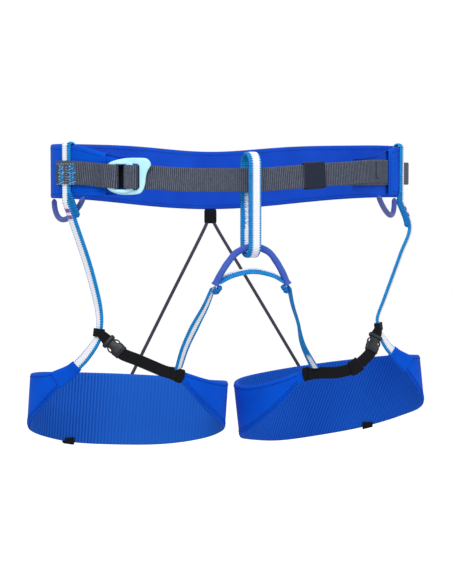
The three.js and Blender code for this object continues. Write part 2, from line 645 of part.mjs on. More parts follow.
function buildRear(side, piece) {
  const anchorTop = V(100, 66, side.top - 5);
  const cordEnd = anchorTop.clone().add(V(0, 0, 1.4));
  const cordStart = V(3.6, WAIST_HALF_DEPTH, REAR_TAB.bottom - 1.4);
  const route = new THREE.CatmullRomCurve3([
    cordStart, cordStart.clone().lerp(cordEnd, 0.06).add(V(0, 0, -0.8)), cordStart.clone().lerp(cordEnd, 0.5),
    cordStart.clone().lerp(cordEnd, 0.95), cordEnd,
  ]);
  piece("rear_cord", "cord", tube(route, roundSection(CORD_RADIUS, 8), 16));
  piece("cord_anchor", "black",
    plate(roundedRectangle(10, 14, 1.5), 2.4).rotateX(Math.PI / 2)
      .translate(anchorTop.x, anchorTop.y + 1.2, anchorTop.z - 7));

  const t = side.tabAt;
  const [low] = padEdges(side, 0, 0)(t);
  const [inner] = padEdges(side, -SHELL_OUTER - GAP - 1.1, 0)(t);
  const [outer] = padEdges(side, SHELL_OUTER + GAP + 1.3, 0)(t);
  const lift = (p, z) => p.clone().add(V(0, 0, z));
  const fold = [lift(inner, 5), lift(inner, 1), lift(inner.clone().lerp(low, 0.3), -1.6), lift(low, -2.2),
    lift(outer.clone().lerp(low, 0.3), -1.6), lift(outer, 1), lift(outer, 5)];
  const sideways = padEdges(side, 0, 0)(t + 0.02)[0].sub(padEdges(side, 0, 0)(t - 0.02)[0]);
  piece("pad_tab", "black", strap(fold, () => sideways, 12, 1.2));
}

const REAR_TAB = { width: 14, top: beltBottom(0) - GAP, bottom: -48, thickness: 3.4 };
add("rear_tab", "black",
  plate(roundedRectangle(REAR_TAB.width, REAR_TAB.top - REAR_TAB.bottom, 2), REAR_TAB.thickness)
    .rotateX(Math.PI / 2)
    .translate(0, WAIST_HALF_DEPTH + REAR_TAB.thickness / 2, (REAR_TAB.top + REAR_TAB.bottom) / 2));

for (const side of SIDES) {
  const half = new THREE.Group();
  half.scale.x = side.mirror;
  harness.add(half);
  const piece = (name, finish, geometry) => {
    const mesh = add(`${side.name}_${name}`, finish, geometry);
    half.add(mesh);
    return mesh;
  };
  buildBelt(side, piece);
  buildPad(side, piece);
  buildLegStrap(side, piece);
  buildRear(side, piece);
}

export default harness;
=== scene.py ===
"""A climbing harness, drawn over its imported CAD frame.

Lengths are in millimetres until a mesh is made. +X is the wearer's left as seen from in front, +Y is
the wearer's back and +Z is up; the origin is the middle of the waist opening.
"""
import math

import bmesh
import bpy
import numpy as np
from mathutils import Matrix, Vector


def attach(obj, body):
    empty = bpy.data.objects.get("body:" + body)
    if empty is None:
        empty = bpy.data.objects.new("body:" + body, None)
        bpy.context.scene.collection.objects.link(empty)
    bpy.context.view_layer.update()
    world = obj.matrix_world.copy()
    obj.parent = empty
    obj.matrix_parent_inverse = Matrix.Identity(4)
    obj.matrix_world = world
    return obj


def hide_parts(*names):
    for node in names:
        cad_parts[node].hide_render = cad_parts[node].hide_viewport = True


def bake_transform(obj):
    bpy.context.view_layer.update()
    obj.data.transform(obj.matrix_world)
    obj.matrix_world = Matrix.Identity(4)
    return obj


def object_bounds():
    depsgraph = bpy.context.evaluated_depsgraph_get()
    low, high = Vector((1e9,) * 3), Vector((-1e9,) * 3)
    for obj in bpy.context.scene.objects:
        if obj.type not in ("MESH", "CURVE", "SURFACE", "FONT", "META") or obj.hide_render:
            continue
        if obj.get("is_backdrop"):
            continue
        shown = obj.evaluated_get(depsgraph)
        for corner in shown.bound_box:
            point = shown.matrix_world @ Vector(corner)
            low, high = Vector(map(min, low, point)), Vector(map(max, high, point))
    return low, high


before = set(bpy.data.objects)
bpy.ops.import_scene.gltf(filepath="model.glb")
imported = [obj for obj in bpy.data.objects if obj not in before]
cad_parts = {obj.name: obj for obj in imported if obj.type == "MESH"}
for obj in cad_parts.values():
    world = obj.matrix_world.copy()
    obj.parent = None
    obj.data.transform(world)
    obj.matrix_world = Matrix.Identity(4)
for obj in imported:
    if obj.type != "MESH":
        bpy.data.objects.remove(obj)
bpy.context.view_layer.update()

MM = 0.001
UP = np.array([0.0, 0.0, 1.0])

# ---- the harness's own dimensions ---------------------------------------------------------------
WAIST_HALF_WIDTH = 197.5
WAIST_HALF_DEPTH = 95.0
SHELL_OUTER = 2.2
GAP = 0.3
WEBBING_WIDTH = 25.0
WEBBING_THICKNESS = 1.7
RIB_PITCH = 2.1
TOOTH_PITCH = 2.5
ELASTIC_PITCH = 1.3
ELASTIC_DEPTH = 0.12
RIB_WIDTH = {"left": 3.9, "right": 3.6}
RIB_FADE = {"left": (275.0, 205.0), "right": (315.0, 370.0)}  # full ribs, and hardly any
SLING_WIDTH = 12.0
SLING_THICKNESS = 2.2
LOOP_WIDTH = 13.8
LOOP_THICKNESS = 3.5
LEG_CENTRE = 114.0
SHELL_END = {"left": -130.6, "right": 123.2}
TONGUE_END = 143.0
SLING_ANGLE = 110.0
CLOTH_THICKNESS = 0.8
EDGE_ROLL = 3.2
SHEET_GAP = 0.25
SEAM_HEIGHT = 2.6
SEAM_PITCH = 3.2
MM_PER_DEGREE = 2.6  # round the belt, on average
ROWS_PER_DEGREE = 2


# ---- numbers and curves -------------------------------------------------------------------------
def point(x, y, z):
    return np.array([x, y, z], float)


def unit(vector):
    return vector / np.linalg.norm(vector, axis=-1, keepdims=True)


def smoothstep(x, low, high):
    t = np.clip((x - low) / (high - low), 0, 1)
    return t * t * (3 - 2 * t)


def rounded(share, least=0.0):
    """The height of a round edge at a share of the way in from it."""
    return np.sqrt(np.clip(1 - (1 - np.clip(share, 0, 1)) ** 2, least, 1))


def ripple(distance, pitch):
    """1 to 0 and back, once in each pitch."""
    return 0.5 + 0.5 * np.cos(2 * math.pi * distance / pitch)


def to_end(distance):
    """How far each place along a line is from the nearer end."""
    return np.minimum(distance - distance[0], distance[-1] - distance)


def spline(points, closed=False, per_span=20, tension=None):
    """A smooth curve through points: centripetal, or with a plain tension."""
    points = np.array(points, float)
    if closed:
        padded = np.vstack([points[-1:], points, points[:2]])
    else:
        padded = np.vstack([2 * points[0] - points[1], points, 2 * points[-1] - points[-2]])
    steps = np.linspace(0, 1, per_span, endpoint=False)[:, None]
    spans = []
    for p0, p1, p2, p3 in zip(padded[:-3], padded[1:-2], padded[2:-1], padded[3:]):
        if tension is None:
            d0, d1, d2 = (np.linalg.norm(b - a) ** 0.5 for a, b in ((p0, p1), (p1, p2), (p2, p3)))
            leave = ((p1 - p0) / d0 - (p2 - p0) / (d0 + d1) + (p2 - p1) / d1) * d1
            arrive = ((p2 - p1) / d1 - (p3 - p1) / (d1 + d2) + (p3 - p2) / d2) * d1
        else:
            leave, arrive = tension * (p2 - p0), tension * (p3 - p1)
        square, cube = steps**2, steps**3
        spans.append(
            (2 * cube - 3 * square + 1) * p1
            + (cube - 2 * square + steps) * leave
            + (3 * square - 2 * cube) * p2
            + (cube - square) * arrive
        )
    if not closed:
        spans.append(points[-1:])
    return np.vstack(spans)


def distances(line):
    """Each point's distance along a line."""
    steps = np.linalg.norm(np.diff(line, axis=0), axis=1)
    return np.concatenate([[0], np.cumsum(steps)])


def read_at(places, known, rows):
    """The rows of a table at places between the known ones."""
    return np.stack([np.interp(places, known, column) for column in np.transpose(rows)], axis=1)


def evenly(line, pitch, closed=False):
    """The line with points at an even pitch, and each one's distance along it."""
    line = np.array(line, float)
    if closed:
        line = np.vstack([line, line[:1]])
    distance = distances(line)
    count = max(4, round(distance[-1] / pitch))
    places = np.linspace(0, distance[-1], count + (not closed), endpoint=not closed)
    return read_at(places, distance, line), places


def frames_along(line, across, closed=False):
    """Unit vectors across a line and out of its face, at each point.

    The one across turns evenly from each of the directions in `across` to the next.
    """
    if closed:
        along = unit(np.roll(line, -1, axis=0) - np.roll(line, 1, axis=0))
    else:
        along = unit(np.gradient(line, axis=0))
    sides = read_at(np.linspace(0, 1, len(line)), np.linspace(0, 1, len(across)), across)
    sides = unit(sides - along * np.sum(sides * along, axis=1)[:, None])
    return sides, np.cross(sides, along)


# ---- materials ----------------------------------------------------------------------------------
def linear(red, green, blue):
    """A colour from the 0 to 255 of a screen to the linear values that a shader takes."""
    values = [c / 255 for c in (red, green, blue)]
    return [c / 12.92 if c <= 0.04045 else ((c + 0.055) / 1.055) ** 2.4 for c in values] + [1.0]


def set_inputs(node, values):
    for name, value in values.items():
        node.inputs[name].default_value = value


class Finish:
    """A material made by maths on a piece's own coordinates: along, across and which side, in mm."""

    def __init__(self, name, roughness, sheen=0.04, metallic=0.0, coat=0.0, specular=0.5):
        self.material = bpy.data.materials.new(name)
        self.material.use_nodes = True
        self.tree = self.material.node_tree
        self.shader = self.tree.nodes["Principled BSDF"]
        set_inputs(self.shader, {
            "Roughness": roughness, "Metallic": metallic, "Sheen Weight": sheen,
            "Sheen Roughness": 0.4, "Coat Weight": coat, "Coat Roughness": 0.25,
            "Specular IOR Level": specular,
        })
        flow = self.node("ShaderNodeAttribute", attribute_name="flow")
        split = self.node("ShaderNodeSeparateXYZ")
        self.plug(flow.outputs["Vector"], split.inputs[0])
        self.along, self.across, self.side = split.outputs

    def node(self, kind, **settings):
        made = self.tree.nodes.new(kind)
        for name, value in settings.items():
            setattr(made, name, value)
        return made

    def plug(self, value, socket):
        if isinstance(value, bpy.types.NodeSocket):
            self.tree.links.new(value, socket)
        else:
            socket.default_value = value

    def calc(self, operation, *values):
        made = self.node("ShaderNodeMath", operation=operation)
        for value, socket in zip(values, made.inputs):
            self.plug(value, socket)
        return made.outputs[0]

    def times(self, a, b):
        return self.calc("MULTIPLY", a, b)

    def minus(self, a, b):
        return self.calc("SUBTRACT", a, b)

    def scaled(self, value, by, plus):
        return self.calc("MULTIPLY_ADD", value, by, plus)

    def wave(self, value, pitch):
        """0 to 1 and back, once in each pitch."""
        turned = self.calc("SINE", self.times(value, 2 * math.pi / pitch))
        return self.scaled(turned, 0.5, 0.5)

    def weave(self, pitch_along, pitch_across):
        return self.times(self.wave(self.along, pitch_along), self.wave(self.across, pitch_across))

    def step(self, value, low, high):
        made = self.node("ShaderNodeMapRange", interpolation_type="SMOOTHSTEP")
        self.plug(value, made.inputs["Value"])
        set_inputs(made, {"From Min": low, "From Max": high})
        return made.outputs["Result"]

    def edge(self, value, place, blur):
        return self.step(value, place - blur, place + blur)

    def noise(self, scale, detail=3.0):
        place = self.node("ShaderNodeTexCoord")
        made = self.node("ShaderNodeTexNoise")
        self.plug(place.outputs["Object"], made.inputs["Vector"])
        set_inputs(made, {"Scale": scale, "Detail": detail})
        return made.outputs["Fac"]

    def mix(self, factor, low, high):
        """From one colour to the other; each is a screen colour or another mix."""
        made = self.node("ShaderNodeMix", data_type="RGBA")
        self.plug(factor, made.inputs["Factor"])
        for colour, name in ((low, "A"), (high, "B")):
            self.plug(linear(*colour) if isinstance(colour, tuple) else colour, made.inputs[name])
        return made.outputs[2]

    def paint(self, factor, low, high):
        self.plug(self.mix(factor, low, high), self.shader.inputs["Base Color"])

    def gloss(self, value, low, high):
        made = self.node("ShaderNodeMapRange")
        self.plug(value, made.inputs["Value"])
        set_inputs(made, {"To Min": low, "To Max": high})
        self.plug(made.outputs["Result"], self.shader.inputs["Roughness"])

    def raise_by(self, height, depth):
        """A bump of that depth in millimetres."""
        made = self.node("ShaderNodeBump")
        set_inputs(made, {"Distance": depth * MM})
        self.plug(height, made.inputs["Height"])
        self.plug(made.outputs["Normal"], self.shader.inputs["Normal"])


def cloth_finish(name, dark, light, roughness=0.8, weave=0.9, depth=0.06):
    """A plain woven face fabric, a little mottled."""
    finish = Finish(name, roughness, specular=0.06)
    mottle = finish.noise(30.0)
    threads = finish.weave(weave, weave)
    finish.paint(finish.scaled(threads, 0.25, finish.times(mottle, 0.8)), dark, light)
    finish.gloss(mottle, roughness - 0.08, roughness + 0.08)
    finish.raise_by(threads, depth)
    return finish.material


def ribbed_finish(name, dark, light, pitch, fade, slant=0.0):
    """The ribbed lining: painted shade in the grooves and painted highlight on the crests, with fine
    threads along each rib.

    The ribs are full at the first of the two distances of `fade` and nearly gone at the second.
    """
    finish = Finish(name, 0.8, specular=0.06)
    phase = finish.scaled(finish.across, slant, finish.along)
    rib = finish.wave(finish.calc("ADD", phase, pitch / 4), pitch)
    gone = finish.step(finish.along, min(fade), max(fade))
    if fade[0] > fade[1]:
        gone = finish.minus(1.0, gone)
    strength = finish.scaled(gone, -0.65, 1.0)
    rib = finish.scaled(finish.minus(rib, 0.6), strength, 0.6)
    rib = finish.scaled(gone, 0.15, rib)
    # Broad light and dark patches from a coarse noise: painted shade of the pad's folds, on top of the
    # ribs' painted shade.
    painted_fold_shade = finish.step(finish.noise(7.0, 1.0), 0.3, 0.7)
    finish.paint(finish.scaled(rib, 0.55, finish.times(painted_fold_shade, 0.42)), dark, light)
    finish.raise_by(finish.scaled(finish.wave(finish.across, 1.1), 0.3, rib), 0.12)
    return finish.material


def webbing_finish(name, dark, light, pitch, roughness=0.75):
    """Flat webbing with ribs across it, painted light on each crest and dark in each groove as painted
    highlight and shade, uneven from rib to rib.
    """
    finish = Finish(name, roughness, specular=0.15)
    rib = finish.wave(finish.along, pitch)
    uneven = finish.noise(320.0, 2.0)
    # The ribs' painted highlight and painted shade, stronger on some ribs than others.
    finish.paint(finish.times(rib, finish.scaled(uneven, 1.1, 0.25)), dark, light)
    weave = finish.times(finish.wave(finish.across, 0.8), 0.3)
    finish.raise_by(finish.calc("ADD", rib, weave), 0.1)
    finish.gloss(uneven, roughness - 0.12, roughness + 0.1)
    return finish.material


def sling_finish(name, stripe_low, stripe_high, tooth=0.7, white_from=0.0, inner_white=None):
    """White webbing with blue edges; the blue bites into the white in small even teeth.

    The stripe starts `white_from` millimetres along the webbing. On the inner face it only shows
    between the two distances of `inner_white`.
    """
    finish = Finish(name, 0.75, specular=0.12)
    teeth = finish.scaled(finish.wave(finish.along, TOOTH_PITCH), 2 * tooth, -tooth)
    low_edge = finish.edge(finish.calc("ADD", finish.across, teeth), stripe_low, 0.25)
    high_edge = finish.edge(finish.minus(finish.across, teeth), stripe_high, 0.25)
    white_part = finish.minus(low_edge, high_edge)
    if white_from:
        white_part = finish.times(white_part, finish.edge(finish.along, white_from, 3))
    if inner_white:
        started, ended = (finish.edge(finish.along, place, 2) for place in inner_white)
        outer_face = finish.minus(1.0, finish.edge(finish.side, 0, 0.3))
        shown = finish.calc("MAXIMUM", finish.minus(started, ended), outer_face)
        white_part = finish.times(white_part, shown)
    weave = finish.weave(TOOTH_PITCH, 1.6)
    uneven = finish.noise(260.0, 2.0)
    blue_shade = finish.scaled(uneven, 0.7, finish.times(weave, 0.8))
    blue = finish.mix(blue_shade, (0, 70, 142), (26, 156, 226))
    white = finish.mix(weave, (228, 228, 236), (242, 243, 248))
    finish.paint(white_part, blue, white)
    finish.raise_by(weave, 0.1)
    return finish.material


def smooth_finish(name, dark, light, roughness, metallic=0.0, coat=0.0, grain=600.0, depth=0.02):
    """Moulded plastic or anodised metal, with a fine grain."""
    finish = Finish(name, roughness, 0.0, metallic, coat, 0.3)
    mottle = finish.noise(60.0)
    fine = finish.noise(grain, 2.0)
    finish.paint(mottle, dark, light)
    finish.gloss(fine, roughness * 0.85, roughness * 1.2)
    finish.raise_by(fine, depth)
    return finish.material


SHELL_BLUE = cloth_finish("shell_fabric", (0, 62, 178), (4, 92, 222))
LINING_BLUE = cloth_finish("lining_fabric", (14, 58, 176), (26, 86, 210), weave=1.4, depth=0.08)
PAD_LINING = {
    name: ribbed_finish(f"{name}_pad_lining", dark, light, RIB_WIDTH[name], RIB_FADE[name], slant)
    for name, dark, light, slant in (
        ("left", (0, 40, 132), (34, 104, 210), 0.0), ("right", (2, 52, 154), (28, 96, 206), -0.5)
    )
}
FOAM = smooth_finish("foam_core", (38, 40, 46), (50, 52, 60), 0.9, grain=900.0, depth=0.1)
GREY_WEBBING = webbing_finish("grey_webbing", (40, 44, 56), (106, 112, 130), RIB_PITCH)
SIDE_SLING = {
    "left": sling_finish("left_side_sling_stripes", -1.6, 4.9),
    "right": sling_finish("right_side_sling_stripes", 0.6, 4.9),
}
SLING = sling_finish("striped_sling", -3.0, 3.0)
FRONT_SLING = sling_finish("front_sling_stripes", -2.4, 2.6, 0.5)
LOWER_SLING = sling_finish("lower_sling_stripes", -2.0, 4.6)
EDGE_ON_SLING = sling_finish("edge_on_sling_stripes", -1.0, 5.2, 0.5, white_from=90.0)
BELAY_SLING = sling_finish("belay_loop_sling", -2.4, 4.9, inner_white=(59.0, 229.0))
CROSS_SLING = sling_finish("cross_sling_stripes", 1.6, 9.0, 0.4)
SHEATH = cloth_finish("sheath_fabric", (50, 76, 168), (82, 112, 198), 0.75, 1.5, 0.12)
GEAR = smooth_finish("gear_loop_plastic", (58, 76, 152), (80, 98, 172), 0.5, coat=0.1)
BLACK = webbing_finish("black_elastic", (4, 5, 8), (26, 27, 32), ELASTIC_PITCH, 0.85)
KEEPER_BLACK = webbing_finish("keeper_elastic", (28, 34, 50), (42, 50, 68), ELASTIC_PITCH, 0.85)
PLASTIC = smooth_finish("black_plastic", (10, 14, 21), (22, 28, 37), 0.42, coat=0.1)
CORD = webbing_finish("cord_cover", (54, 54, 66), (74, 74, 86), 1.6)
ANODISED = smooth_finish("pale_anodised", (168, 232, 250), (204, 246, 255), 0.38, 0.1, 0.1, 900.0,
                         0.01)
BLUE_WEBBING = webbing_finish("blue_webbing", (0, 78, 150), (20, 136, 210), TOOTH_PITCH)
THREAD = {
    name: cloth_finish(f"{name}_thread", dark, light, roughness)
    for name, dark, light, roughness in (
        ("blue", (0, 112, 196), (52, 160, 226), 0.7),
        ("pale_blue", (70, 168, 226), (140, 206, 244), 0.7),
        ("white", (205, 225, 240), (240, 246, 252), 0.7),
        ("navy", (0, 34, 118), (10, 50, 148), 0.8),
        ("dark", (0, 10, 62), (8, 24, 88), 0.8),
        ("grey", (30, 32, 42), (48, 50, 62), 0.8),
        ("purple", (122, 78, 158), (150, 104, 186), 0.8),
    )
}


# ---- meshes -------------------------------------------------------------------------------------
def mesh_piece(name, points, faces, finish, flow=None, mirror=1, crease=50.0):
    """A mesh from points in millimetres, with its own coordinates for the material."""
    points = np.array(points, float)
    if flow is None:
        flow = points[:, [0, 2, 1]]
    mesh = bpy.data.meshes.new(name)
    mesh.from_pydata((points * (mirror * MM, MM, MM)).tolist(), [], faces)
    attribute = mesh.attributes.new("flow", "FLOAT_VECTOR", "POINT")
    attribute.data.foreach_set("vector", np.array(flow, np.float32).ravel())
    mesh.materials.append(finish)
    shape = bmesh.new()
    shape.from_mesh(mesh)
    bmesh.ops.recalc_face_normals(shape, faces=shape.faces)
    shape.to_mesh(mesh)
    shape.free()
    mesh.polygons.foreach_set("use_smooth", [True] * len(mesh.polygons))
    mesh.set_sharp_from_angle(angle=math.radians(crease))
    made = bpy.data.objects.new(name, mesh)
    bpy.context.scene.collection.objects.link(made)
    return made


def tube_faces(rows, columns, closed=False):
    """Quads round a row of outlines, with a face over each end unless the row meets itself."""
    faces = []
    for row in range(rows if closed else rows - 1):
        here, there = row * columns, (row + 1) % rows * columns
        for column in range(columns):
            beside = (column + 1) % columns
            faces.append((here + column, here + beside, there + beside, there + column))
    if not closed:
        faces.append(tuple(range(columns))[::-1])
        faces.append(tuple(range((rows - 1) * columns, rows * columns)))
    return faces


def grid_piece(name, grid, flow, finish, mirror=1, closed=False):
    """A mesh from rows of outlines; `flow` holds its along, across and which side."""
    rows, columns = grid.shape[:2]
    flow = np.stack([np.broadcast_to(part, (rows, columns)) for part in flow], axis=2)
    faces = tube_faces(rows, columns, closed)
    return mesh_piece(name, grid.reshape(-1, 3), faces, finish, flow.reshape(-1, 3), mirror)


def strap_section(width, thickness, columns=14, corner=4):
    """Round a strap's rounded section: across, out of its face, and which face, for each point."""
    radius = thickness / 2
    edge = width / 2 - radius
    flat = np.linspace(-edge, edge, columns)
    turns = np.linspace(0, math.pi, corner + 2)[1:-1]
    curve = radius * np.sin(turns)
    across = np.concatenate([flat, edge + curve, flat[::-1], -edge - curve])
    face = np.concatenate([np.ones(columns), np.cos(turns), -np.ones(columns), -np.cos(turns)])
    return across, face * radius, face


def ribs(pitch, depth, width):
    """Ribs across a strap that fade out in its selvedges."""

    def relief(along, across):
        middle = 1 - smoothstep(np.abs(across), width / 2 - 2.2, width / 2 - 0.8)
        return depth * middle * ripple(along, pitch)

    return relief


def strap(name, line, across, width, thickness, finish, relief=None, pitch=1.0,
          closed=False, columns=14, mirror=1, end_taper=0.8, spread=(1.0, 1.0), tip=0.0):
    """A woven strap along a line, its ends a little pressed flat where they were cut.

    Its width is multiplied by the numbers of `spread`, one after the other along it, and its far
    end is rounded over the length `tip`.
    """
    centres, distance = evenly(line, pitch, closed)
    sides, out = frames_along(centres, across, closed)
    a, b, face = strap_section(width, thickness, columns)
    height = b + (relief(distance[:, None], a) * face if relief else 0 * distance[:, None])
    if not closed:
        height *= 0.55 + 0.45 * smoothstep(to_end(distance), 0, end_taper)[:, None]
    share = np.interp(distance, np.linspace(0, distance[-1], len(spread)), spread)
    if tip:
        share = share * rounded((distance[-1] - distance) / tip, 0.04)
    widths = share[:, None] * a
    grid = centres[:, None] + sides[:, None] * widths[..., None] + out[:, None] * height[..., None]
    return grid_piece(name, grid, (distance[:, None], a, face), finish, mirror, closed)


def round_tube(name, line, radius, finish, relief=None, pitch=1.0, around=20, mirror=1, bore=0.0):
    """A round tube or rod along a line; a bore makes it hollow with open ends."""
    centres, distance = evenly(line, pitch)
    sides, out = frames_along(centres, [point(0.3, 0.2, 1)])
    turn = np.linspace(0, 2 * math.pi, around, endpoint=False)
    spokes = sides[:, None] * np.cos(turn)[:, None] + out[:, None] * np.sin(turn)[:, None]
    away = distance[:, None]
    size = radius + (relief(away, turn) if relief else 0) + 0 * away * turn
    if not bore:
        size *= np.sqrt(0.35 + 0.65 * smoothstep(to_end(away), 0, radius * 0.6))
    grid = centres[:, None] + spokes * size[..., None]
    if bore:
        grid = np.concatenate([grid, (centres[:, None] + spokes * bore)[::-1]])
        away = np.concatenate([away, away[::-1]])
    return grid_piece(name, grid, (away, radius * turn, 1.0), finish, mirror, bool(bore))


def soft_sheet(name, at, away, low, high, sign, finish, full, wall, columns, mirror=1,
               ends=1.0, crease=0.0, relief=None):
    """One face of padded cloth: a thin crowned sheet whose edges roll in towards the other face.

    `at` gives points from their offset and height, `away` is the distance along the sheet, and
    `full` and `wall` are its reach from the middle surface and its own thickness.
    """
    up = np.linspace(0, math.pi, columns)
    z = low + (high - low) * (0.5 - 0.5 * np.cos(up))
    rolled = rounded(np.minimum(z - low, high - z) / EDGE_ROLL) * ends
    inner = SHEET_GAP + (full - SHEET_GAP - wall) * rolled + crease * np.sin(up)
    outer = inner + wall + (relief(away, z) * rolled if relief else 0.0)
    grid = np.concatenate([at(sign * outer, z), at(sign * inner, z)[:, ::-1]], axis=1)
    heights = np.concatenate([z, z[:, ::-1]], axis=1)
    face = np.repeat([sign, -sign], columns)
    return grid_piece(name, grid, (away, heights, face), finish, mirror)


def place(piece, body, slot, *nodes):
    """The piece rides on a body and stands for CAD nodes; `slot` is not used."""
    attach(piece, body)
    if nodes:
        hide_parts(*nodes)
    return piece


def bend(piece, bodies, start, end, slot, *nodes, mirror=1):
    """The piece's placement is baked into its mesh, and it stands for CAD nodes; `bodies`, `start`,
    `end`, `slot` and `mirror` are not used.
    """
    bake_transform(piece)
    if nodes:
        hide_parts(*nodes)
    return piece


def stitches(name, ends, radius, finish, mirror=1):
    """Short rounded threads, each from one point to another."""
    verts, faces = [], []
    rings = [(0.0, 0.3), (0.18, 0.85), (0.5, 1.0), (0.82, 0.85), (1.0, 0.3)]
    turns = np.linspace(0, 2 * math.pi, 6, endpoint=False)[:, None]
    for start, end in ends:
        along = unit(end - start)
        first = unit(np.cross(along, UP if abs(along[2]) < 0.8 else point(1, 0, 0)))
        spokes = first * np.cos(turns) + np.cross(along, first) * np.sin(turns)
        base = len(verts)
        for t, size in rings:
            verts += list(start + (end - start) * t + spokes * radius * size)
        faces += [tuple(base + v for v in face) for face in tube_faces(len(rings), len(turns))]
    return mesh_piece(name, verts, faces, finish, None, mirror)


def stitch_row(line, pitch, share=0.6):
    """Start and end of each stitch in a running row along a line."""
    centres, _ = evenly(line, pitch)
    return [(here, here + (there - here) * share) for here, there in zip(centres[:-1], centres[1:])]


# ---- the waistbelt ------------------------------------------------------------------------------
def belt_point(angle, offset, z):
    """A point at an angle round the belt from the back, set out from its middle surface."""
    turn, offset, z = np.broadcast_arrays(np.radians(angle), offset, z)
    x, y = np.sin(turn), np.cos(turn)
    out = unit(np.stack([x / WAIST_HALF_WIDTH, y / WAIST_HALF_DEPTH, 0 * turn], axis=-1))
    base = np.stack([WAIST_HALF_WIDTH * x, WAIST_HALF_DEPTH * y, z], axis=-1)
    return base + out * offset[..., None]


def belt_top(angle):
    a = np.abs(angle)
    back_dip = 7.3 * np.exp(-((a / 22) ** 2))
    return 39 - back_dip - 3 * smoothstep(a, 60, 110) - 14 * smoothstep(a, 112, TONGUE_END)


def belt_bottom(angle):
    a = np.abs(angle)
    back_drop = 14.4 * np.exp(-((a / 38) ** 2))
    return -20 - back_drop + 3 * smoothstep(a, 90, 125) + 3 * smoothstep(a, 125, TONGUE_END)


def belt_sheet(name, start, end, sign, finish, full, wall, wrinkle=0.0, edge_grow=0.35):
    """One face of the belt, between two angles."""
    angles = np.linspace(start, end, int(abs(end - start) * ROWS_PER_DEGREE))[:, None]
    crease = wrinkle * np.sin(angles * 0.9 + 0.8 * np.sin(angles * 0.21))
    return soft_sheet(
        name, lambda offset, z: belt_point(angles, offset, z), (angles - start) * MM_PER_DEGREE,
        belt_bottom(angles) - edge_grow, belt_top(angles) + edge_grow, sign, finish, full, wall,
        24, crease=crease,
    )


def build_belt():
    shell = belt_sheet("belt_outer_fabric", SHELL_END["left"], SHELL_END["right"], 1, SHELL_BLUE,
                       2.5, CLOTH_THICKNESS, 0.12)
    place(shell, "waist", "shell", "waistbelt_shell")
    lining = belt_sheet("belt_lining", -TONGUE_END, TONGUE_END, -1, LINING_BLUE, 2.4,
                        CLOTH_THICKNESS, 0.15, 0.0)
    place(lining, "waist", "lining", "waistbelt_lining")
    core = belt_sheet("belt_foam_core", -TONGUE_END + 2, 111.5, -1, SHELL_BLUE, 1.0, 1.9,
                      edge_grow=-2.5)
    place(core, "waist", "shell", "waistbelt_foam")

    seams = []
    for edge, inset in ((belt_bottom, 4.0), (belt_top, -4.0)):
        for first, last, offset in (
            (SHELL_END["left"], SHELL_END["right"], 2.55), (-TONGUE_END, TONGUE_END, -2.45)
        ):
            angles = np.arange(first + 2, last - 2, 1.1)
            seams += stitch_row(belt_point(angles, offset, edge(angles) + inset), SEAM_PITCH)
    for end in (SHELL_END["left"] + 1.4, SHELL_END["right"] - 1.4):
        heights = np.arange(belt_bottom(end) + 5, belt_top(end) - 4, 1.0)
        seams += stitch_row(belt_point(end, SEAM_HEIGHT, heights), SEAM_PITCH)
    place(stitches("belt_seam_stitches", seams, 0.34, THREAD["navy"]), "waist", "shell")


# ---- the waist buckle: u along it to the right, n out from the wearer, w up -----------------------
BUCKLE_ORIGIN = point(-133.4, -76.3, 2.8)
BUCKLE_TURN = math.radians(28)
BUCKLE_U = point(math.cos(BUCKLE_TURN), -math.sin(BUCKLE_TURN), 0)
BUCKLE_N = point(-math.sin(BUCKLE_TURN), -math.cos(BUCKLE_TURN), 0)
FRAME_THICKNESS = 3.0
SLIDER_THICKNESS = 2.5


def on_buckle(u, n, w=0.0):
    return BUCKLE_ORIGIN + BUCKLE_U * u + BUCKLE_N * n + UP * w


def rounded_rectangle(left, right, half_height, radius, steps=6):
    corners = [
        (right - radius, half_height - radius, 0), (left + radius, half_height - radius, 90),
        (left + radius, -half_height + radius, 180), (right - radius, -half_height + radius, 270),
    ]
    outline = []
    for x, y, start in corners:
        for turn in np.radians(np.linspace(start, start + 90, steps + 1)):
            outline.append((x + radius * math.cos(turn), y + radius * math.sin(turn)))
    return np.array(outline)


def bevelled_plate(outline, window, thickness, bevel):
    """Vertices and faces of a flat frame with rounded edges, lying in its own plane."""
    curve = bpy.data.curves.new("plate_outline", "CURVE")
    curve.dimensions = "2D"
    curve.fill_mode = "BOTH"
    curve.extrude = thickness / 2 - bevel
    curve.bevel_depth = bevel
    curve.bevel_resolution = 3
    curve.offset = -bevel
    for ring in (outline, window):
        line = curve.splines.new("POLY")
        line.points.add(len(ring) - 1)
        for target, (x, y) in zip(line.points, ring):
            target.co = (x, y, 0, 1)
        line.use_cyclic_u = True
    holder = bpy.data.objects.new("plate_outline", curve)
    bpy.context.scene.collection.objects.link(holder)
    mesh = bpy.data.meshes.new_from_object(holder)
    verts = np.array([v.co for v in mesh.vertices], float)
    faces = [tuple(polygon.vertices) for polygon in mesh.polygons]
    bpy.data.objects.remove(holder)
    bpy.data.curves.remove(curve)
    bpy.data.meshes.remove(mesh)
    return verts, faces


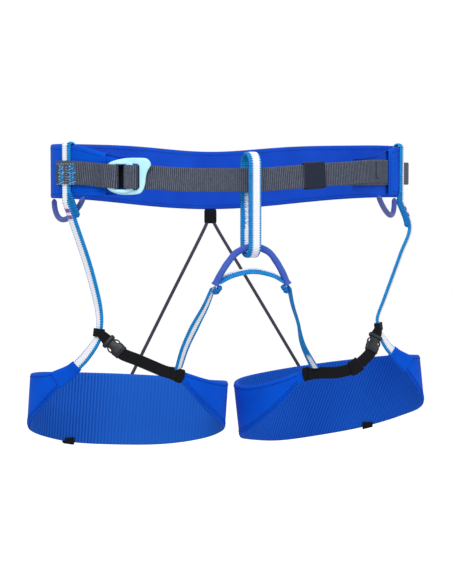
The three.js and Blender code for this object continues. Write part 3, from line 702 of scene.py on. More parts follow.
def build_buckle():
    outer = spline(
        [(-20, 0), (-18.5, -12), (-8, -17.6), (8, -18.6), (18, -16.6), (22.4, -9), (23.6, 0),
         (25.4, 6), (29, 13), (25.5, 18.4), (12, 19.8), (-5, 18.4), (-17.5, 13.5)],
        closed=True, per_span=8,
    )
    slider = spline(
        [(-19.5, 0), (-18, -11), (-9, -15.8), (3, -16.6), (10.5, -12.5), (11, -4), (11, 4),
         (10.5, 12.5), (3, 16.9), (-9, 16.2), (-18, 11.5)],
        closed=True, per_span=8,
    )
    frames = [
        ("buckle_frame", outer, rounded_rectangle(-9.5, 16.7, 13.3, 3), FRAME_THICKNESS, 0.0,
         "buckle_outer_frame"),
        ("buckle_slide", slider, rounded_rectangle(-9.5, 3.7, 13.2, 2), SLIDER_THICKNESS,
         FRAME_THICKNESS + GAP, "buckle_slider"),
    ]
    for name, outline, window, thickness, depth, node in frames:
        flat, faces = bevelled_plate(outline, window, thickness, 1.0)
        verts = [on_buckle(u, n + depth + thickness / 2, w) for u, w, n in flat]
        piece = mesh_piece(name, verts, faces, ANODISED, crease=70)
        place(piece, "buckle", "metal", node)


# ---- grey webbing ---------------------------------------------------------------------------------
ON_SHELL = SHELL_OUTER + GAP + WEBBING_THICKNESS / 2
OVER_SLING = SHELL_OUTER + 2 * GAP + SLING_THICKNESS + WEBBING_THICKNESS / 2
INSIDE_OFFSET = 0.05
MAIN_OFFSET = 3.4
TAIL_GAP = 0.4
WEBBING_ENTRY = 113.0
BUCKLE_SIDE = 213.5
FREE_END = 124.3


def main_z(x):
    return -0.4 + 6.5 * smoothstep(x, -10, 110) + 3.2 * smoothstep(-x, 60, 130)


def tail_z(x):
    return main_z(x) + 3 * smoothstep(x, 90, 150)


def main_offset(angle):
    """Between the shell and the lining at first, then out in front of the lining's tongue."""
    return INSIDE_OFFSET + (MAIN_OFFSET - INSIDE_OFFSET) * smoothstep(angle, 124, 142)


def tail_offset(angle):
    return main_offset(angle) + WEBBING_THICKNESS + TAIL_GAP


def along_front(start, end, offset, height):
    angles = np.linspace(start, end, 160)
    line = belt_point(angles, offset(angles), 0)
    line[:, 2] = height(line[:, 0])
    return line


def build_webbing():
    size = (WEBBING_WIDTH, WEBBING_THICKNESS - 0.2, GREY_WEBBING,
            ribs(RIB_PITCH, 0.22, WEBBING_WIDTH), 0.52)
    wrap = spline(
        [on_buckle(u, n) for u, n in
         [(19.5, -4.6), (13, -4.6), (7.5, -4), (3.4, -2.4), (1.7, 0.5), (1.3, 3.5), (1.9, 6.2),
          (4.4, 7.4), (7.8, 7.5), (11.2, 7.4), (13.5, 6), (14.3, 3.4), (14.4, 0.9), (15.6, -2),
          (20, -2.8)]]
    )
    wrap[:, 2] = main_z(wrap[:, 0])
    line = np.vstack([
        along_front(WEBBING_ENTRY, BUCKLE_SIDE, main_offset, main_z),
        wrap,
        along_front(BUCKLE_SIDE, FREE_END, tail_offset, tail_z),
    ])
    bend(strap("waist_strap", line, [UP], *size), ("waist", "buckle"), (-85, -84, 0),
         (-112, -84, 0), "webbing", "waist_webbing")

    def strand(angles, offset):
        return list(belt_point(angles, offset, 0))

    fold = spline(
        strand([-115.5, -120, -125], ON_SHELL)
        + [on_buckle(u, n) for u, n in
           [(-21, -1.6), (-15, -1.4), (-11, -1.3), (-7.9, -1), (-7, 1), (-6.8, 2.9), (-7, 4.9),
            (-8.1, 6.7), (-11, 7.3), (-15, 7.3), (-20, 7), (-25.5, 4)]]
        + strand([-126.5, -120, -114.5, -110, -105.8], OVER_SLING)
        + strand([-103.2, -101], ON_SHELL)
    )
    fold[:, 2] = 2.8 + 4.7 * smoothstep(-fold[:, 0], 135, 190)
    bend(strap("buckle_strap", fold, [UP], *size), ("waist", "buckle"), (-163, -62, 3),
         (-150, -68, 3), "webbing", "buckle_webbing")

    # A black strip behind the buckle's slot: painted shadow, dark where the shaded webbing shows through
    # the slot.
    behind = spline([on_buckle(-8.5, -3.4, 0.5), on_buckle(-3, -3.5, 0.5), on_buckle(2, -3.6, 0.5)])
    slot_shadow_strip = strap("buckle_slot_painted_shadow", behind, [UP], WEBBING_WIDTH - 1, 1.2, BLACK, pitch=0.6)
    place(slot_shadow_strip, "buckle", "black")

    stub = along_front(96.5, 105.6, lambda a: ON_SHELL + 4.5 * smoothstep(-a, -105, -96.5),
                       lambda x: 0 * x + 6.5)
    place(strap("right_strap_end", stub, [UP], *size), "waist", "webbing", "right_webbing_end")
    sew_webbing()


def sew_webbing():
    """The tacks that hold the buckle strap, and the hook sewn on the waist strap's free end."""

    def on_fold(angle, z, lift=0.95):
        return belt_point(angle, OVER_SLING + lift, z)

    def beside_fold(z):
        return belt_point(-127.0, ON_SHELL + 1.6, z)

    blue, pale, ring = [], [], []
    for left, right in ((-106.0, -109.4), (-112.8, -116.4)):
        for row, z in enumerate(np.arange(-4.0, 15.5, 1.2)):
            lean, uneven = 0.9 if row % 2 else -0.9, 0.7 * math.sin(row * 2.3)
            middle = on_fold((left + right) / 2, z - lean, 1.0)
            (pale if row % 3 == 0 else blue).append((on_fold(left + uneven, z + lean), middle))
            (pale if row % 4 == 1 else blue).append((middle, on_fold(right - uneven, z + lean)))
    for angle in (-109.0, -111.2):
        ring += [(on_fold(angle, z), on_fold(angle, z + 1.2)) for z in np.arange(-3.0, 15.0, 2.6)]
    for z in (-5.0, 16.6):
        across = np.arange(-116.0, -104.0, 1.6)
        ring += [(on_fold(angle, z), on_fold(angle + 0.7, z)) for angle in across]
    ring += [(beside_fold(z), beside_fold(z + 1.1)) for z in np.arange(-6.0, 17.0, 2.4)]
    for name, ends, radius, thread in (
        ("bartacks", blue, 0.42, "blue"), ("pale_bartacks", pale, 0.5, "pale_blue"),
        ("stitches", ring, 0.3, "white"),
    ):
        place(stitches(f"buckle_strap_{name}", ends, radius, THREAD[thread]), "waist", "sling")

    angles = np.concatenate([np.full(12, 133.0), np.linspace(132.8, 130.4, 5)])
    heights = np.concatenate([np.linspace(19.5, 3.0, 12), np.full(5, 1.6)])
    hook = stitch_row(belt_point(angles, tail_offset(angles) + 1.0, heights), 2.0, 0.75)
    place(stitches("tail_hook_stitches", hook, 0.45, THREAD["grey"]), "waist", "webbing")


def build_keeper():
    """A knitted sleeve round both strands, a little narrower at its middle and its rims."""
    along = point(0.98248, 0.17201, 0.07175)
    centre = point(68.32, -93.65, 4.29)
    length, height, depth, wall = 24.0, 29.6, 8.2, 1.2
    out = unit(np.cross(along, UP))
    up = np.cross(out, along)
    steps = np.linspace(-length / 2, length / 2, 40)[:, None]
    waist = 1 - 0.03 * np.cos(steps / length * math.pi) - 0.07 * np.abs(2 * steps / length) ** 10
    knit = 1 + 0.02 * ripple(steps, 1.5)
    sheets, heights = [], []
    for inset, radius, grow, pull in ((0.0, 2.4, knit, waist), (wall, 1.2, 1.0, 1.0)):
        half = depth / 2 - inset
        x, y = rounded_rectangle(-half, half, height / 2 - inset, radius, 5).T
        sheets.append(centre + along * steps[..., None] + out * (0 * steps + x * grow)[..., None]
                      + up * (0 * steps + y * pull)[..., None])
        heights.append(0 * steps + y)
    grid = np.concatenate([sheets[0], sheets[1][::-1]])
    away = np.concatenate([steps, steps[::-1]]) + length / 2
    face = np.repeat([[1.0], [-1.0]], len(steps), axis=0)
    flow = (away, np.concatenate(heights), face)
    piece = grid_piece("keeper_sleeve", grid, flow, KEEPER_BLACK, closed=True)
    place(piece, "keeper", "black", "webbing_keeper")


# ---- belay loop and tie-in ring -----------------------------------------------------------------
LOOP_MIDDLE_Y = -98.5
LOOP_RADIUS = 12.2
LOOP_TOP = 29.0
LOOP_BOTTOM = -82.4
RING_END = point(40, -92, -111.5)
RING_APEX_Z = -70.7
LOOP_LEAN = -2.6
SHEATH_RADIUS = 3.5


def build_belay_loop():
    middle = 1.5 * LOOP_LEAN

    def end(centre_z, start):
        turns = np.radians(start + np.linspace(0, 180, 40))
        return np.stack([LOOP_LEAN * (1 + 0.5 * np.cos(turns)),
                         LOOP_MIDDLE_Y + LOOP_RADIUS * np.cos(turns),
                         centre_z + LOOP_RADIUS * np.sin(turns)], axis=1)

    line = np.vstack([
        [point(middle, LOOP_MIDDLE_Y + LOOP_RADIUS, 0)],
        end(LOOP_TOP - LOOP_THICKNESS / 2 - LOOP_RADIUS, 0),
        end(LOOP_BOTTOM + LOOP_THICKNESS / 2 + LOOP_RADIUS, 180),
    ])
    loop = strap("belay_loop_webbing", line, [point(1, 0, 0)], LOOP_WIDTH, LOOP_THICKNESS - 0.3,
                 BELAY_SLING, ribs(TOOTH_PITCH, 0.3, LOOP_WIDTH), 0.5, closed=True, columns=16)
    place(loop, "belay", "sling", "belay_loop")

    # The back strand's stripe is sewn over in blue, with gaps that leave white patches.
    rear = LOOP_MIDDLE_Y + LOOP_RADIUS - LOOP_THICKNESS / 2 - 0.1
    tack = []
    for row, z in enumerate(np.arange(-50.0, -13.0, 1.2)):
        lean = 1.0 if row % 2 else -1.0
        gap = 1.5 + 1.4 * math.sin(row * 1.3)
        tack.append((point(middle - 3.2, rear, z), point(middle - gap, rear, z + lean)))
        tack.append((point(middle + gap, rear, z - lean), point(middle + 4.6, rear, z)))
    place(stitches("belay_loop_bartacks", tack, 0.6, THREAD["blue"]), "belay", "sling")


def ring_line():
    half = [point(17, -97.4, -76.4), point(26, -95.6, -86.5), point(32.7, -94, -97), RING_END]
    other = [p * (-1, 1, 1) for p in half][::-1]
    return spline(other + [point(0, LOOP_MIDDLE_Y, RING_APEX_Z)] + half)


def build_tie_in():
    line = ring_line()

    def wrinkles(distance, turn):
        seam = 0.35 * np.exp(-(((turn - 4.4) / 0.28) ** 2))
        soft = 0.1 * np.sin(distance / 2.7 + 1.3 * np.sin(turn * 2)) + 0.08 * np.sin(distance / 5.1)
        flare = 1.1 * (1 - smoothstep(to_end(distance), 0, 4.5)) * (0.7 + 0.3 * np.cos(2 * turn))
        return soft - seam + flare

    sheath = round_tube("tie_in_sheath_cover", line, SHEATH_RADIUS + 0.05, SHEATH, wrinkles, 0.9,
                        28, bore=2.6)
    place(sheath, "waist", "sheath", "tie_in_sheath")
    core = round_tube("tie_in_core", line, 2.25, SLING, None, 2.0, 16)
    place(core, "waist", "sling", "tie_in_webbing")

    cross = spline([(-35.5, -91, -108), (-22, -93.5, -101), (0, -94.5, -96.8), (22, -93.5, -101),
                    (35.5, -91, -108)])
    sling = strap("cross_sling", cross, [point(0, 0.85, 0.5)], SLING_WIDTH - 2, SLING_THICKNESS,
                  CROSS_SLING)
    place(sling, "waist", "sling", "tie_in_cross_sling")

    fold = spline([(33.5, -92, -112.5), (36, -92.8, -115.5), (38.5, -92, -118.5),
                   (41.5, -90.5, -117.5)])
    for side, sign in (("left", -1), ("right", 1)):
        bulge = round_tube(f"{side}_ring_fold", fold, 2.9, BLUE_WEBBING,
                           lambda d, t: 0.35 * np.sin(d * 1.9) * np.sin(3 * t), 0.6, 18, sign)
        place(bulge, "waist", "sling")


# ---- the two legs -------------------------------------------------------------------------------
SLING_ACROSS = point(0.604, 0.797, 0)

# Each side is laid out for the right and mirrored. The two legs hang a little differently.
SIDES = [
    {
        "name": "left", "mirror": -1, "tilt": math.radians(4), "top": -220.0,
        "inner_rise": [5, 6, 6, 4], "lower": [4, -22, -42, -54, -68, -78, -81, -79, -69, -55, -33, 4],
        "tab_at": 0.688, "gear_ends": (81, 119), "gear_skew": 0.62, "gear_drop": 23.0,
        "rib_height": 0.55, "rib_slant": 0.0, "wedge_row": 7,
        "sling": [(178, -37, -56), (166, -42, -95), (156.5, -47, -138)],
        "fold_length": 17.0, "fold_across": SLING_ACROSS, "lower_across": point(0.79, 0.25, 0.61),
        "buckle_end": point(135, -65, -184),
        "strap": [(119, -65, -191.2), (102, -62, -198.8), (88, -57.5, -205)],
        "front_across": [(0.6, -0.8, 0), (0.85, -0.4, 0.2), (0.6, -0.7, 0.3)],
        "front_end": None, "front_sling": FRONT_SLING,
    },
    {
        "name": "right", "mirror": 1, "tilt": math.radians(6.3), "top": -215.2,
        "inner_rise": [-2, 0, 0, 0], "lower": [4, -27, -49, -61, -72, -82, -84, -81, -71, -58, -37, 4],
        "tab_at": 0.69, "gear_ends": (84, 129), "gear_skew": 0.5, "gear_drop": 20.0,
        "rib_height": 0.42, "rib_slant": -0.5, "wedge_row": 3,
        "sling": [(198.5, -36, -53), (186, -41, -83), (165.5, -46, -132)],
        "fold_length": 32.0, "fold_across": point(0.85, 0.53, 0), "lower_across": point(0.86, 0.2, 0.51),
        "buckle_end": point(143.5, -64, -189),
        "strap": [(124, -66, -205.5), (106, -64, -211), (88, -60, -211.5)],
        "front_across": [(0.0, -1, 0), (-0.12, -1, 0), (0.5, -0.8, 0.1)],
        "front_end": point(81, -56.5, -206.5), "front_sling": EDGE_ON_SLING,
    },
]

# Round a pad from its inner tip by the back to its outer tip: out from the leg's centre, back, and
# the height of its upper edge above the upper edge at the back. Each side's "lower" gives the
# heights of its lower edge at the same places.
PAD_OUTLINE = [
    (-42, -50, 13), (-74, -43, 3), (-99, -25, -2), (-107.6, 2, -1), (-92, 33, 0), (-52, 52, 0),
    (0, 58, 0), (52, 52, 0), (92, 32, 1), (107.6, 3, 2), (98, -19, 5), (73, -32, 13),
]
LOOP_PLACE = point(157, -50, -163)
HOOP_LINE = unit(point(0.12, -0.02, -1))
GEAR_RADIUS = 3.0
HOOP_LENGTH = 9.0
SLING_BEND = ((180, -40, -30), (158, -50, -155))
PLUG_BASE = 4.5
SOCKET_LENGTH = 17.0


def leg_point(side, x, y, z):
    c, s = math.cos(side["tilt"]), math.sin(side["tilt"])
    return np.stack([LEG_CENTRE + x * c - z * s, y + 0 * x, side["top"] + x * s + z * c], axis=-1)


def pad_line(side, count=400):
    """Along a pad: the distance, the plan point and both edges' heights, and the way out."""
    rows = np.column_stack([np.array(PAD_OUTLINE, float), side["lower"]])
    rows[0, 3] += side["inner_rise"][0]
    rows[:4, 2] += side["inner_rise"]
    dense = spline(rows, per_span=200, tension=0.5)
    distance = distances(dense[:, :2])
    places = np.linspace(0, distance[-1], count)
    rows = read_at(places, distance, dense)
    along = np.gradient(rows[:, :2], axis=0)
    return places, rows, unit(np.stack([-along[:, 1], along[:, 0]], axis=1))


def pad_point(side, row, out, offset, z):
    """A point at a height beside a pad's row, set out from its middle surface."""
    return leg_point(side, row[..., 0] + out[..., 0] * offset, row[..., 1] + out[..., 1] * offset, z)


def pad_middle(side, row, forward=0.0, up=0.0):
    """The middle of a pad's height at a row: 0 is its inner tip and -1 its outer one."""
    x, y, high, low = pad_line(side)[1][row]
    return leg_point(side, x, y - forward, (high + low) / 2 + up)


def pad_sheet(side, name, sign, finish, full, wall, inset=0.0, keep=(0.0, 1.0), relief=None,
              count=400, columns=22):
    """One face of a leg pad."""
    places, rows, out = pad_line(side, count)
    share = places / places[-1]
    chosen = (share >= keep[0]) & (share <= keep[1])
    places, rows, out = (part[chosen][:, None] for part in (places, rows, out))
    return soft_sheet(
        f"{side['name']}_pad_{name}", lambda offset, z: pad_point(side, rows, out, offset, z), places,
        rows[..., 3] + inset, rows[..., 2] - inset, sign, finish, full, wall, columns,
        side["mirror"], np.sqrt(np.clip(to_end(places) / 3.0, 0.05, 1)), relief=relief,
    )


def build_pad(side):
    name, leg = side["name"], f"{side['name']}_leg"

    def lining_ribs(distance, z):
        full, gone = RIB_FADE[name]
        strength = 1 - 0.6 * smoothstep((distance - full) / (gone - full), 0, 1)
        return strength * side["rib_height"] * ripple(distance + side["rib_slant"] * z, RIB_WIDTH[name])

    shell = pad_sheet(side, "outer_fabric", 1, SHELL_BLUE, 2.5, CLOTH_THICKNESS)
    place(shell, leg, "shell", f"{name}_leg_shell")
    lining = pad_sheet(side, "lining", -1, PAD_LINING[name], 2.3, CLOTH_THICKNESS,
                       relief=lining_ribs, count=1000, columns=20)
    place(lining, leg, "lining", f"{name}_leg_lining")
    core = pad_sheet(side, "foam_core", -1, FOAM, 1.0, 1.8, 2.0, (0.08, 0.92))
    place(core, leg, "foam", f"{name}_leg_foam")

    _, rows, out = pad_line(side, 700)
    seams = []
    for first, last, edge, inset in (
        (16, 684, 2, -3.6), (16, 684, 3, 3.6), (16, 210, 3, 6.4), (490, 684, 3, 6.4)
    ):
        line = pad_point(side, rows, out, SEAM_HEIGHT, rows[:, edge] + inset)[first:last]
        seams += stitch_row(line, 3.0)
    place(stitches(f"{name}_pad_stitches", seams, 0.42, THREAD["dark"], side["mirror"]), leg, "shell")


def sling_crest(side):
    """The side sling's line: inside the belt, over its top edge, down outside it, to the hoop."""
    inside = SHELL_OUTER + GAP + SLING_THICKNESS / 2
    crest = belt_top(SLING_ANGLE - 4) + GAP + SLING_THICKNESS / 2
    foot = belt_bottom(SLING_ANGLE) - 6
    offsets = inside * np.array([-1, -1, -1, -0.6, 0, 0.6, 1, 1, 1, 1, 1])
    offsets[:3] -= (0.6, 0.6, 0.4)
    heights = crest + np.array([-17, -4, -1, 1, 1.6, 1, -1, -4, 0, 0, 0])
    heights[-3:] = (15.0, -5.0, foot)
    belt_run = belt_point(SLING_ANGLE, offsets, heights)
    free_run = [belt_run[-1], *side["sling"], LOOP_PLACE - HOOP_LINE * HOOP_LENGTH,
                LOOP_PLACE - HOOP_LINE * 0.6]
    return spline(belt_run), spline(free_run)


def build_slings(side):
    name, mirror, leg = side["name"], side["mirror"], f"{side['name']}_leg"
    weave = ribs(1.9, 0.16, SLING_WIDTH)
    thickness = SLING_THICKNESS - 0.1
    belt_line, free_line = sling_crest(side)
    sling = strap(f"{name}_side_strap", np.vstack([belt_line, free_line[1:]]), [SLING_ACROSS],
                  SLING_WIDTH, thickness, SIDE_SLING[name], weave, 0.55, mirror=mirror,
                  spread=(1, 1, 1, 1, 1, 1, 0.95, 0.7))
    bend(sling, ("waist", leg), *SLING_BEND, "sling", f"{name}_side_sling", mirror=mirror)

    outer_tip, inner_tip = pad_middle(side, -1), pad_middle(side, 0)
    lower = spline([
        LOOP_PLACE + HOOP_LINE * 0.6, LOOP_PLACE + HOOP_LINE * 5,
        LOOP_PLACE + (outer_tip - LOOP_PLACE) * 0.55 + point(-3, -2, -2),
        outer_tip + point(-2.6, -1.8, 2),
    ])
    piece = strap(f"{name}_lower_strap", lower, [SLING_ACROSS, side["lower_across"]],
                  SLING_WIDTH - 1, thickness, LOWER_SLING, weave, 0.55, mirror=mirror,
                  spread=(0.75, 0.95, 1, 1, 1))
    place(piece, leg, "sling", f"{name}_lower_sling")
    build_sleeve(side, lower)
    build_sling_fold(side, free_line)

    landing = inner_tip + point(-0.5, -1, 5.5) if side["front_end"] is None else side["front_end"]
    front = spline([
        RING_END + point(1.6, 0.8, -2), point(48, -83, -134), point(57, -74, -155),
        point(66, -63, -180), landing,
    ])
    piece = strap(f"{name}_front_strap", front, side["front_across"], SLING_WIDTH, thickness,
                  side["front_sling"], weave, 0.55, mirror=mirror)
    bend(piece, ("waist", leg), (42, -90, -115), (69, -55, -205), "sling", f"{name}_front_sling",
         mirror=mirror)


def build_sling_fold(side, free_line):
    """Below the belt the sling's end is folded back beside it and sewn down."""
    name, mirror = side["name"], side["mirror"]
    line, distance = evenly(free_line, 1.0)
    beside = line[(distance > 1.0) & (distance < side["fold_length"])] + point(-5.4, -6.0, 0)
    top = belt_point(SLING_ANGLE + 2.5, SHELL_OUTER + GAP + SLING_THICKNESS, -14.0)
    fold = strap(f"{name}_sling_fold", spline(np.vstack([top[None], beside[::5]])),
                 [side["fold_across"]], 9.0, 3.6, BLUE_WEBBING, ribs(TOOTH_PITCH, 0.35, 9.0), 0.4,
                 mirror=mirror, end_taper=3.0, spread=(0.6, 1.0), tip=4.0)
    bend(fold, ("waist", f"{name}_leg"), *SLING_BEND, "sling", mirror=mirror)

    _, out = frames_along(line, [SLING_ACROSS])
    tack = []
    for height in (9.0, 16.5):
        for place_down in height + np.arange(-1.6, 1.7, 0.8):
            spot = int(place_down)
            on_face = out[spot] * (SLING_THICKNESS / 2 + 0.1)
            base = line[spot] - UP * (place_down - spot) - on_face
            tack.append((base - SLING_ACROSS * 1.6, base + SLING_ACROSS * 4.6))
    marks = stitches(f"{name}_sling_tacks", tack, 0.6, THREAD["purple"], mirror)
    bend(marks, ("waist", f"{name}_leg"), *SLING_BEND, "sling", mirror=mirror)


def build_sleeve(side, lower):
    """The pad's outer tip closes round the end of the lower sling in a short cloth sleeve."""
    line, _ = evenly(lower, 1.0)
    path = spline([line[-9], line[-5], line[-1], pad_middle(side, -16, 2.0, 2.0)])
    sleeve = strap(f"{side['name']}_tip_sleeve", path, [side["lower_across"]], 13.4, 5.2,
                   SHELL_BLUE, mirror=side["mirror"], end_taper=2.0, spread=(1.0, 1.25, 1.6))
    place(sleeve, f"{side['name']}_leg", "shell")


def build_wedge(side, strap_line):
    """The elastic strap is folded over the pad's inner tip, wider than the strap itself."""
    line, _ = evenly(strap_line, 1.0)
    path = spline([line[-7], line[-4], line[-1], pad_middle(side, side["wedge_row"], 2.5, 1.0)])
    wedge = strap(f"{side['name']}_tip_wedge", path, [point(-0.3, 0, -1), point(-0.1, 0, -1)],
                  14.5, 5.4, BLACK, ribs(ELASTIC_PITCH, ELASTIC_DEPTH, 14), 0.6, mirror=side["mirror"],
                  end_taper=2.5, spread=(0.95, 1.15), tip=3.0)
    place(wedge, f"{side['name']}_leg", "black")


def buckle_frame(side):
    """The leg buckle's own frame: its start, across it, out from the leg, and along it."""
    along = unit(side["buckle_end"] - LOOP_PLACE)
    out = unit(point(0, -1, 0) + along * along[1])
    across = np.cross(out, along)
    start = side["buckle_end"] - along * (PLUG_BASE + GAP + SOCKET_LENGTH)
    return start, across, out, along


def lofted(name, side, sections, columns=32, power=3.0):
    """A moulded body through rounded sections: distance along the buckle, half width, half depth."""
    start, across, out, along = buckle_frame(side)
    turn = np.linspace(0, 2 * math.pi, columns, endpoint=False)
    x, y = (np.sign(part) * np.abs(part) ** (2 / power) for part in (np.cos(turn), np.sin(turn)))
    dense = spline(sections, per_span=5, tension=0.25)
    verts = [
        start + along * z + across * (x[k] * half_width) + out * (y[k] * half_depth)
        for z, half_width, half_depth in dense for k in range(columns)
    ]
    faces = tube_faces(len(dense), columns)
    return mesh_piece(f"{side['name']}_{name}", verts, faces, PLASTIC, None, side["mirror"])


def prong_line(side, sign):
    start, across, out, along = buckle_frame(side)
    bow = [(4.4, 3.4), (5.6, 6.0), (7.2, 8.6), (7.5, 10.6), (6.7, 12.8), (5.0, 15.2)]
    return spline([start + across * (sign * x) + along * z for x, z in bow]), out


def build_leg_strap(side):
    name, mirror, leg = side["name"], side["mirror"], f"{side['name']}_leg"
    start, across, out, along = buckle_frame(side)
    end = PLUG_BASE + GAP + SOCKET_LENGTH

    plug = lofted("buckle_plug", side, [
        (0.0, 7.4, 2.2), (0.8, 8.0, 2.9), (2.4, 8.3, 3.1), (3.8, 8.0, 2.8), (PLUG_BASE, 7.6, 2.3),
    ])
    place(plug, leg, "plastic", f"{name}_plug")
    socket = lofted("buckle_socket", side, [
        (4.8, 5.4, 2.2), (6.0, 5.2, 2.7), (9.5, 4.9, 2.8), (11.0, 5.4, 2.9), (12.6, 7.6, 2.9),
        (15.5, 8.0, 2.9), (18.6, 7.7, 2.9), (19.2, 7.7, 2.5), (19.8, 7.7, 2.5), (20.3, 7.8, 3.0),
        (end, 7.4, 2.4),
    ])
    place(socket, f"{name}_socket", "plastic", f"{name}_socket")
    for letter, sign in (("a", 1), ("b", -1)):
        line, face = prong_line(side, sign)
        arm = strap(f"{name}_buckle_prong_{letter}", line, [face], 3.0, 1.5, PLASTIC, pitch=0.5,
                    columns=6, mirror=mirror)
        place(arm, f"{name}_prong_{letter}", "plastic", f"{name}_prong_{letter}")

    inner = pad_middle(side, 0)
    strap_start = side["buckle_end"] - along * 1.6
    line = spline([strap_start, strap_start + along * 3] + side["strap"]
                  + [inner + point(3.6, -0.6, 0.2)])
    elastic = strap(f"{name}_leg_elastic", line, [across, point(-0.3, 0, -1)], 13.0, 1.7, BLACK,
                    ribs(ELASTIC_PITCH, ELASTIC_DEPTH, 13), 0.6, mirror=mirror)
    stretch = ((leg, f"{name}_socket"), inner, side["buckle_end"], "black")
    bend(elastic, *stretch, f"{name}_leg_strap", mirror=mirror)
    build_wedge(side, line)

    place(hoop_piece(side), leg, "black", f"{name}_strap_hoop")
    tab_start = LOOP_PLACE + unit(start - LOOP_PLACE) * 1.5 + point(0, -3.2, 1.0)
    tab_line = spline([tab_start, (tab_start + start) / 2 + out * 0.8, start + along * 1.5])
    tab = strap(f"{name}_hoop_tab", tab_line, [HOOP_LINE, across], 13.0, 3.0, BLACK,
                ribs(ELASTIC_PITCH, ELASTIC_DEPTH, 13), 0.6, mirror=mirror, spread=(0.7, 1.0))
    place(tab, leg, "black")
    if name == "right":
        covered, distance = evenly(line, 1.0)
        middle = covered[(distance > 20.0) & (distance < 34.0)]
        keeper = strap("right_strap_keeper", middle,
                       [across * 0.6 + UP * -0.4, point(-0.2, 0, -1)], 17.0, 4.4, BLACK,
                       ribs(ELASTIC_PITCH, ELASTIC_DEPTH, 16), 0.6, mirror=mirror)
        bend(keeper, *stretch, mirror=mirror)


def hoop_piece(side):
    """The black loop of webbing round the side sling."""
    sling_side = unit(SLING_ACROSS - HOOP_LINE * np.dot(SLING_ACROSS, HOOP_LINE))
    sling_face = np.cross(HOOP_LINE, sling_side)
    ring = rounded_rectangle(-6.0, 6.0, 2.9, 2.2, 5)
    outline = LOOP_PLACE + ring[:, :1] * sling_side + ring[:, 1:] * sling_face
    return strap(f"{side['name']}_hoop_webbing", outline, [HOOP_LINE], HOOP_LENGTH, 1.4, BLACK,
                 pitch=0.8, closed=True, columns=10, mirror=side["mirror"])


def build_gear_loop(side):
    """The loop hangs deepest near its rear end, rises slowly to its front one, and is thin at both."""
    name = side["name"]
    rear, front = (
        belt_point(angle, -0.5, belt_bottom(angle) - 4 * GAP) for angle in side["gear_ends"]
    )
    share = (1 - np.cos(np.linspace(0, math.pi, 13)))[:, None] / 2
    down = np.abs(np.sin(math.pi * share ** side["gear_skew"])) ** 0.7
    line = spline(rear + (front - rear) * share - UP * side["gear_drop"] * down)
    loop = round_tube(f"{name}_gear_tube", line, GEAR_RADIUS, GEAR,
                      lambda distance, turn: smoothstep(to_end(distance), 0, 3.5) - 1, 1.0, 24,
                      side["mirror"])
    place(loop, f"{name}_gear_loop", "gear", f"{name}_gear_loop")


# ---- rear tab and cords -------------------------------------------------------------------------
REAR_TAB_BOTTOM = -48.0
CORD_RADIUS = 1.9


def soft_block(name, centre, half_width, half_height, half_depth, mirror=1):
    """A small padded tab of folded webbing: a rounded slab, thinner at its edges."""
    rows = np.linspace(-1, 1, 22)[:, None]
    turn = np.linspace(0, 2 * math.pi, 28, endpoint=False)
    x = np.sign(np.cos(turn)) * np.abs(np.cos(turn)) ** 0.35 * half_width
    y = np.sign(np.sin(turn)) * np.abs(np.sin(turn)) ** 0.55
    corner = 1 - np.abs(rows) ** 10 * 0.12
    corner[[0, -1]] = 0.86
    thin = 1 - 0.35 * np.abs(rows) ** 6
    parts = (x * corner, -y * half_depth * thin, rows * half_height + 0 * turn)
    flow = (rows * half_height, x, y)
    return grid_piece(name, centre + np.stack(parts, axis=2), flow, BLACK, mirror)


def build_rear():
    top = belt_bottom(0.0) - GAP
    bottom = REAR_TAB_BOTTOM - 3.2
    centre = point(0, WAIST_HALF_DEPTH, (top + bottom) / 2)
    tab = soft_block("rear_tab_webbing", centre, 7.2, (top - bottom) / 2, 2.4)
    place(tab, "waist", "black", "rear_tab")

    def braid(distance, turn):
        return 0.07 * np.sin(distance * 2.4 + 2 * turn) * np.sin(distance * 2.4 - 2 * turn)

    for side in SIDES:
        name, mirror, leg = side["name"], side["mirror"], f"{side['name']}_leg"
        anchor_top = point(100, 66, side["top"] - 5)
        cord_end = anchor_top + point(0, 0, 1.4)
        cord_start = point(3.6, WAIST_HALF_DEPTH, REAR_TAB_BOTTOM - 1.4)
        reach = cord_end - cord_start
        line = spline([cord_start, cord_start + reach * 0.06 + point(0, 0, -0.8),
                       cord_start + reach * 0.5, cord_start + reach * 0.95, cord_end])
        cord = round_tube(f"{name}_elastic_cord", line, CORD_RADIUS, CORD, braid, 0.7, 14, mirror)
        bend(cord, ("waist", leg), cord_start, cord_end, "cord", f"{name}_rear_cord", mirror=mirror)
        route, places = evenly(line, 3.0)
        route = route * np.array([mirror, 1, 1]) * MM

        anchor = soft_block(f"{name}_cord_anchor_tab", anchor_top + point(0, 0, -7), 5.0, 7.0, 1.2,
                            mirror)
        place(anchor, leg, "black", f"{name}_cord_anchor")
        build_pad_tab(side)


def build_pad_tab(side):
    """A short black strap folded up over the pad's lower edge."""
    name = side["name"]
    places, rows, out = pad_line(side, 601)
    spot = int(np.argmin(np.abs(places - side["tab_at"] * places[-1])))
    inner, outer, bottom = (
        pad_point(side, rows[spot], out[spot], offset, rows[spot, 3]) for offset in (-3.6, 3.8, 0.0)
    )
    fold = spline([
        inner + UP * 5, inner + UP, inner + (bottom - inner) * 0.3 - UP * 1.6, bottom - UP * 2.2,
        outer + (bottom - outer) * 0.3 - UP * 1.6, outer + UP, outer + UP * 5,
    ])
    ahead, behind = (
        leg_point(side, rows[k, 0], rows[k, 1], rows[k, 3]) for k in (spot + 6, spot - 6)
    )
    piece = strap(f"{name}_pad_tab_webbing", fold, [unit(ahead - behind)], 12.0, 1.3, BLACK,
                  pitch=0.6, mirror=side["mirror"])
    place(piece, f"{name}_leg", "black", f"{name}_pad_tab")


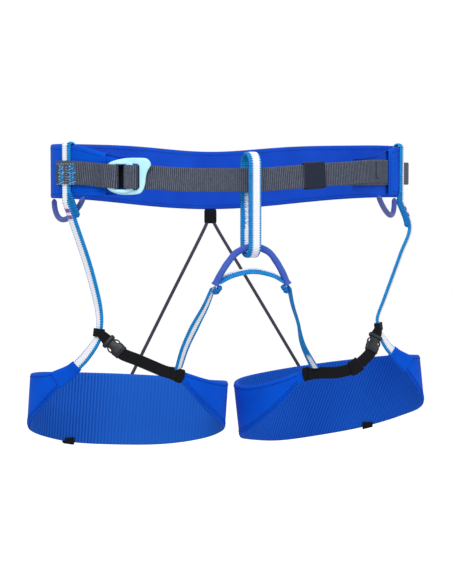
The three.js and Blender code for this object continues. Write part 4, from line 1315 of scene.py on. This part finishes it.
# ---- stage --------------------------------------------------------------------------------------
CAMERA_AZIMUTH = math.radians(-14)
CAMERA_DISTANCE = 1.9
CAMERA_PITCH = math.radians(3.83)
CAMERA_SHIFT = 0.0048
CAMERA_RAISE = 0.002
FOCAL_LENGTH = 105.3
ROOM_RADIUS = 9.0
FLOOR_DEPTH = 0.35
LIGHT_AIM = (0, 0, -0.15)
LIGHTS = [
    ("key_light", (-0.8, -1.5, 1.6), 1.3, 30.0),
    ("fill_light", (1.4, -1.3, 0.4), 1.4, 9.0),
    ("rim_light", (0.3, 1.4, 1.3), 1.2, 12.0),
]


def stage_piece(name, mesh, grey, glow):
    """Part of the white room: seen by the camera, and it doesn't light or shade the harness."""
    paint = bpy.data.materials.new(name)
    paint.use_nodes = True
    set_inputs(paint.node_tree.nodes["Principled BSDF"], {
        "Base Color": (grey, grey, grey, 1), "Roughness": 0.9, "Specular IOR Level": 0.0,
        "Emission Color": (1, 1, 1, 1), "Emission Strength": glow,
    })
    mesh.materials.append(paint)
    made = bpy.data.objects.new(name, mesh)
    made.visible_diffuse = False
    made.visible_glossy = False
    made.visible_transmission = False
    made.visible_shadow = False
    bpy.context.scene.collection.objects.link(made)
    made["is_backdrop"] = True


def build_stage():
    scene = bpy.context.scene
    lens = bpy.data.cameras.new("camera")
    lens.lens = FOCAL_LENGTH
    lens.sensor_width = 36
    camera = bpy.data.objects.new("camera", lens)
    sine, cosine = math.sin(CAMERA_AZIMUTH), math.cos(CAMERA_AZIMUTH)
    camera.location = (CAMERA_DISTANCE * sine - CAMERA_SHIFT * cosine,
                       -CAMERA_DISTANCE * cosine - CAMERA_SHIFT * sine, CAMERA_RAISE)
    camera.rotation_euler = (math.pi / 2 - CAMERA_PITCH, 0, CAMERA_AZIMUTH)
    scene.collection.objects.link(camera)
    scene.camera = camera

    world = bpy.data.worlds.new("studio")
    world.use_nodes = True
    set_inputs(world.node_tree.nodes["Background"], {"Color": (1, 1, 1, 1), "Strength": 0.72})
    scene.world = world
    scene.view_settings.view_transform = "Standard"

    for name, spot, size, power in LIGHTS:
        lamp = bpy.data.lights.new(name, "AREA")
        lamp.size = size
        lamp.energy = power
        made = bpy.data.objects.new(name, lamp)
        made.location = spot
        aim = Vector(LIGHT_AIM) - Vector(spot)
        made.rotation_euler = aim.to_track_quat("-Z", "Y").to_euler()
        scene.collection.objects.link(made)

    shape = bmesh.new()
    bmesh.ops.create_uvsphere(shape, u_segments=48, v_segments=24, radius=ROOM_RADIUS)
    surround = bpy.data.meshes.new("white_surround")
    shape.to_mesh(surround)
    shape.free()
    stage_piece("white_surround", surround, 0.0, 1.0)

    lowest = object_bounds()[0][2] - FLOOR_DEPTH
    corners = [(x * ROOM_RADIUS, y * ROOM_RADIUS, lowest)
               for x, y in ((-1, -1), (1, -1), (1, 1), (-1, 1))]
    floor = bpy.data.meshes.new("pale_floor")
    floor.from_pydata(corners, [], [(0, 1, 2, 3)])
    stage_piece("pale_floor", floor, 0.9, 0.36)


build_stage()
build_rear()
build_belt()
build_buckle()
build_webbing()
build_keeper()
build_belay_loop()
build_tie_in()
for each_side in SIDES:
    build_pad(each_side)
    build_slings(each_side)
    build_leg_strap(each_side)
    build_gear_loop(each_side)
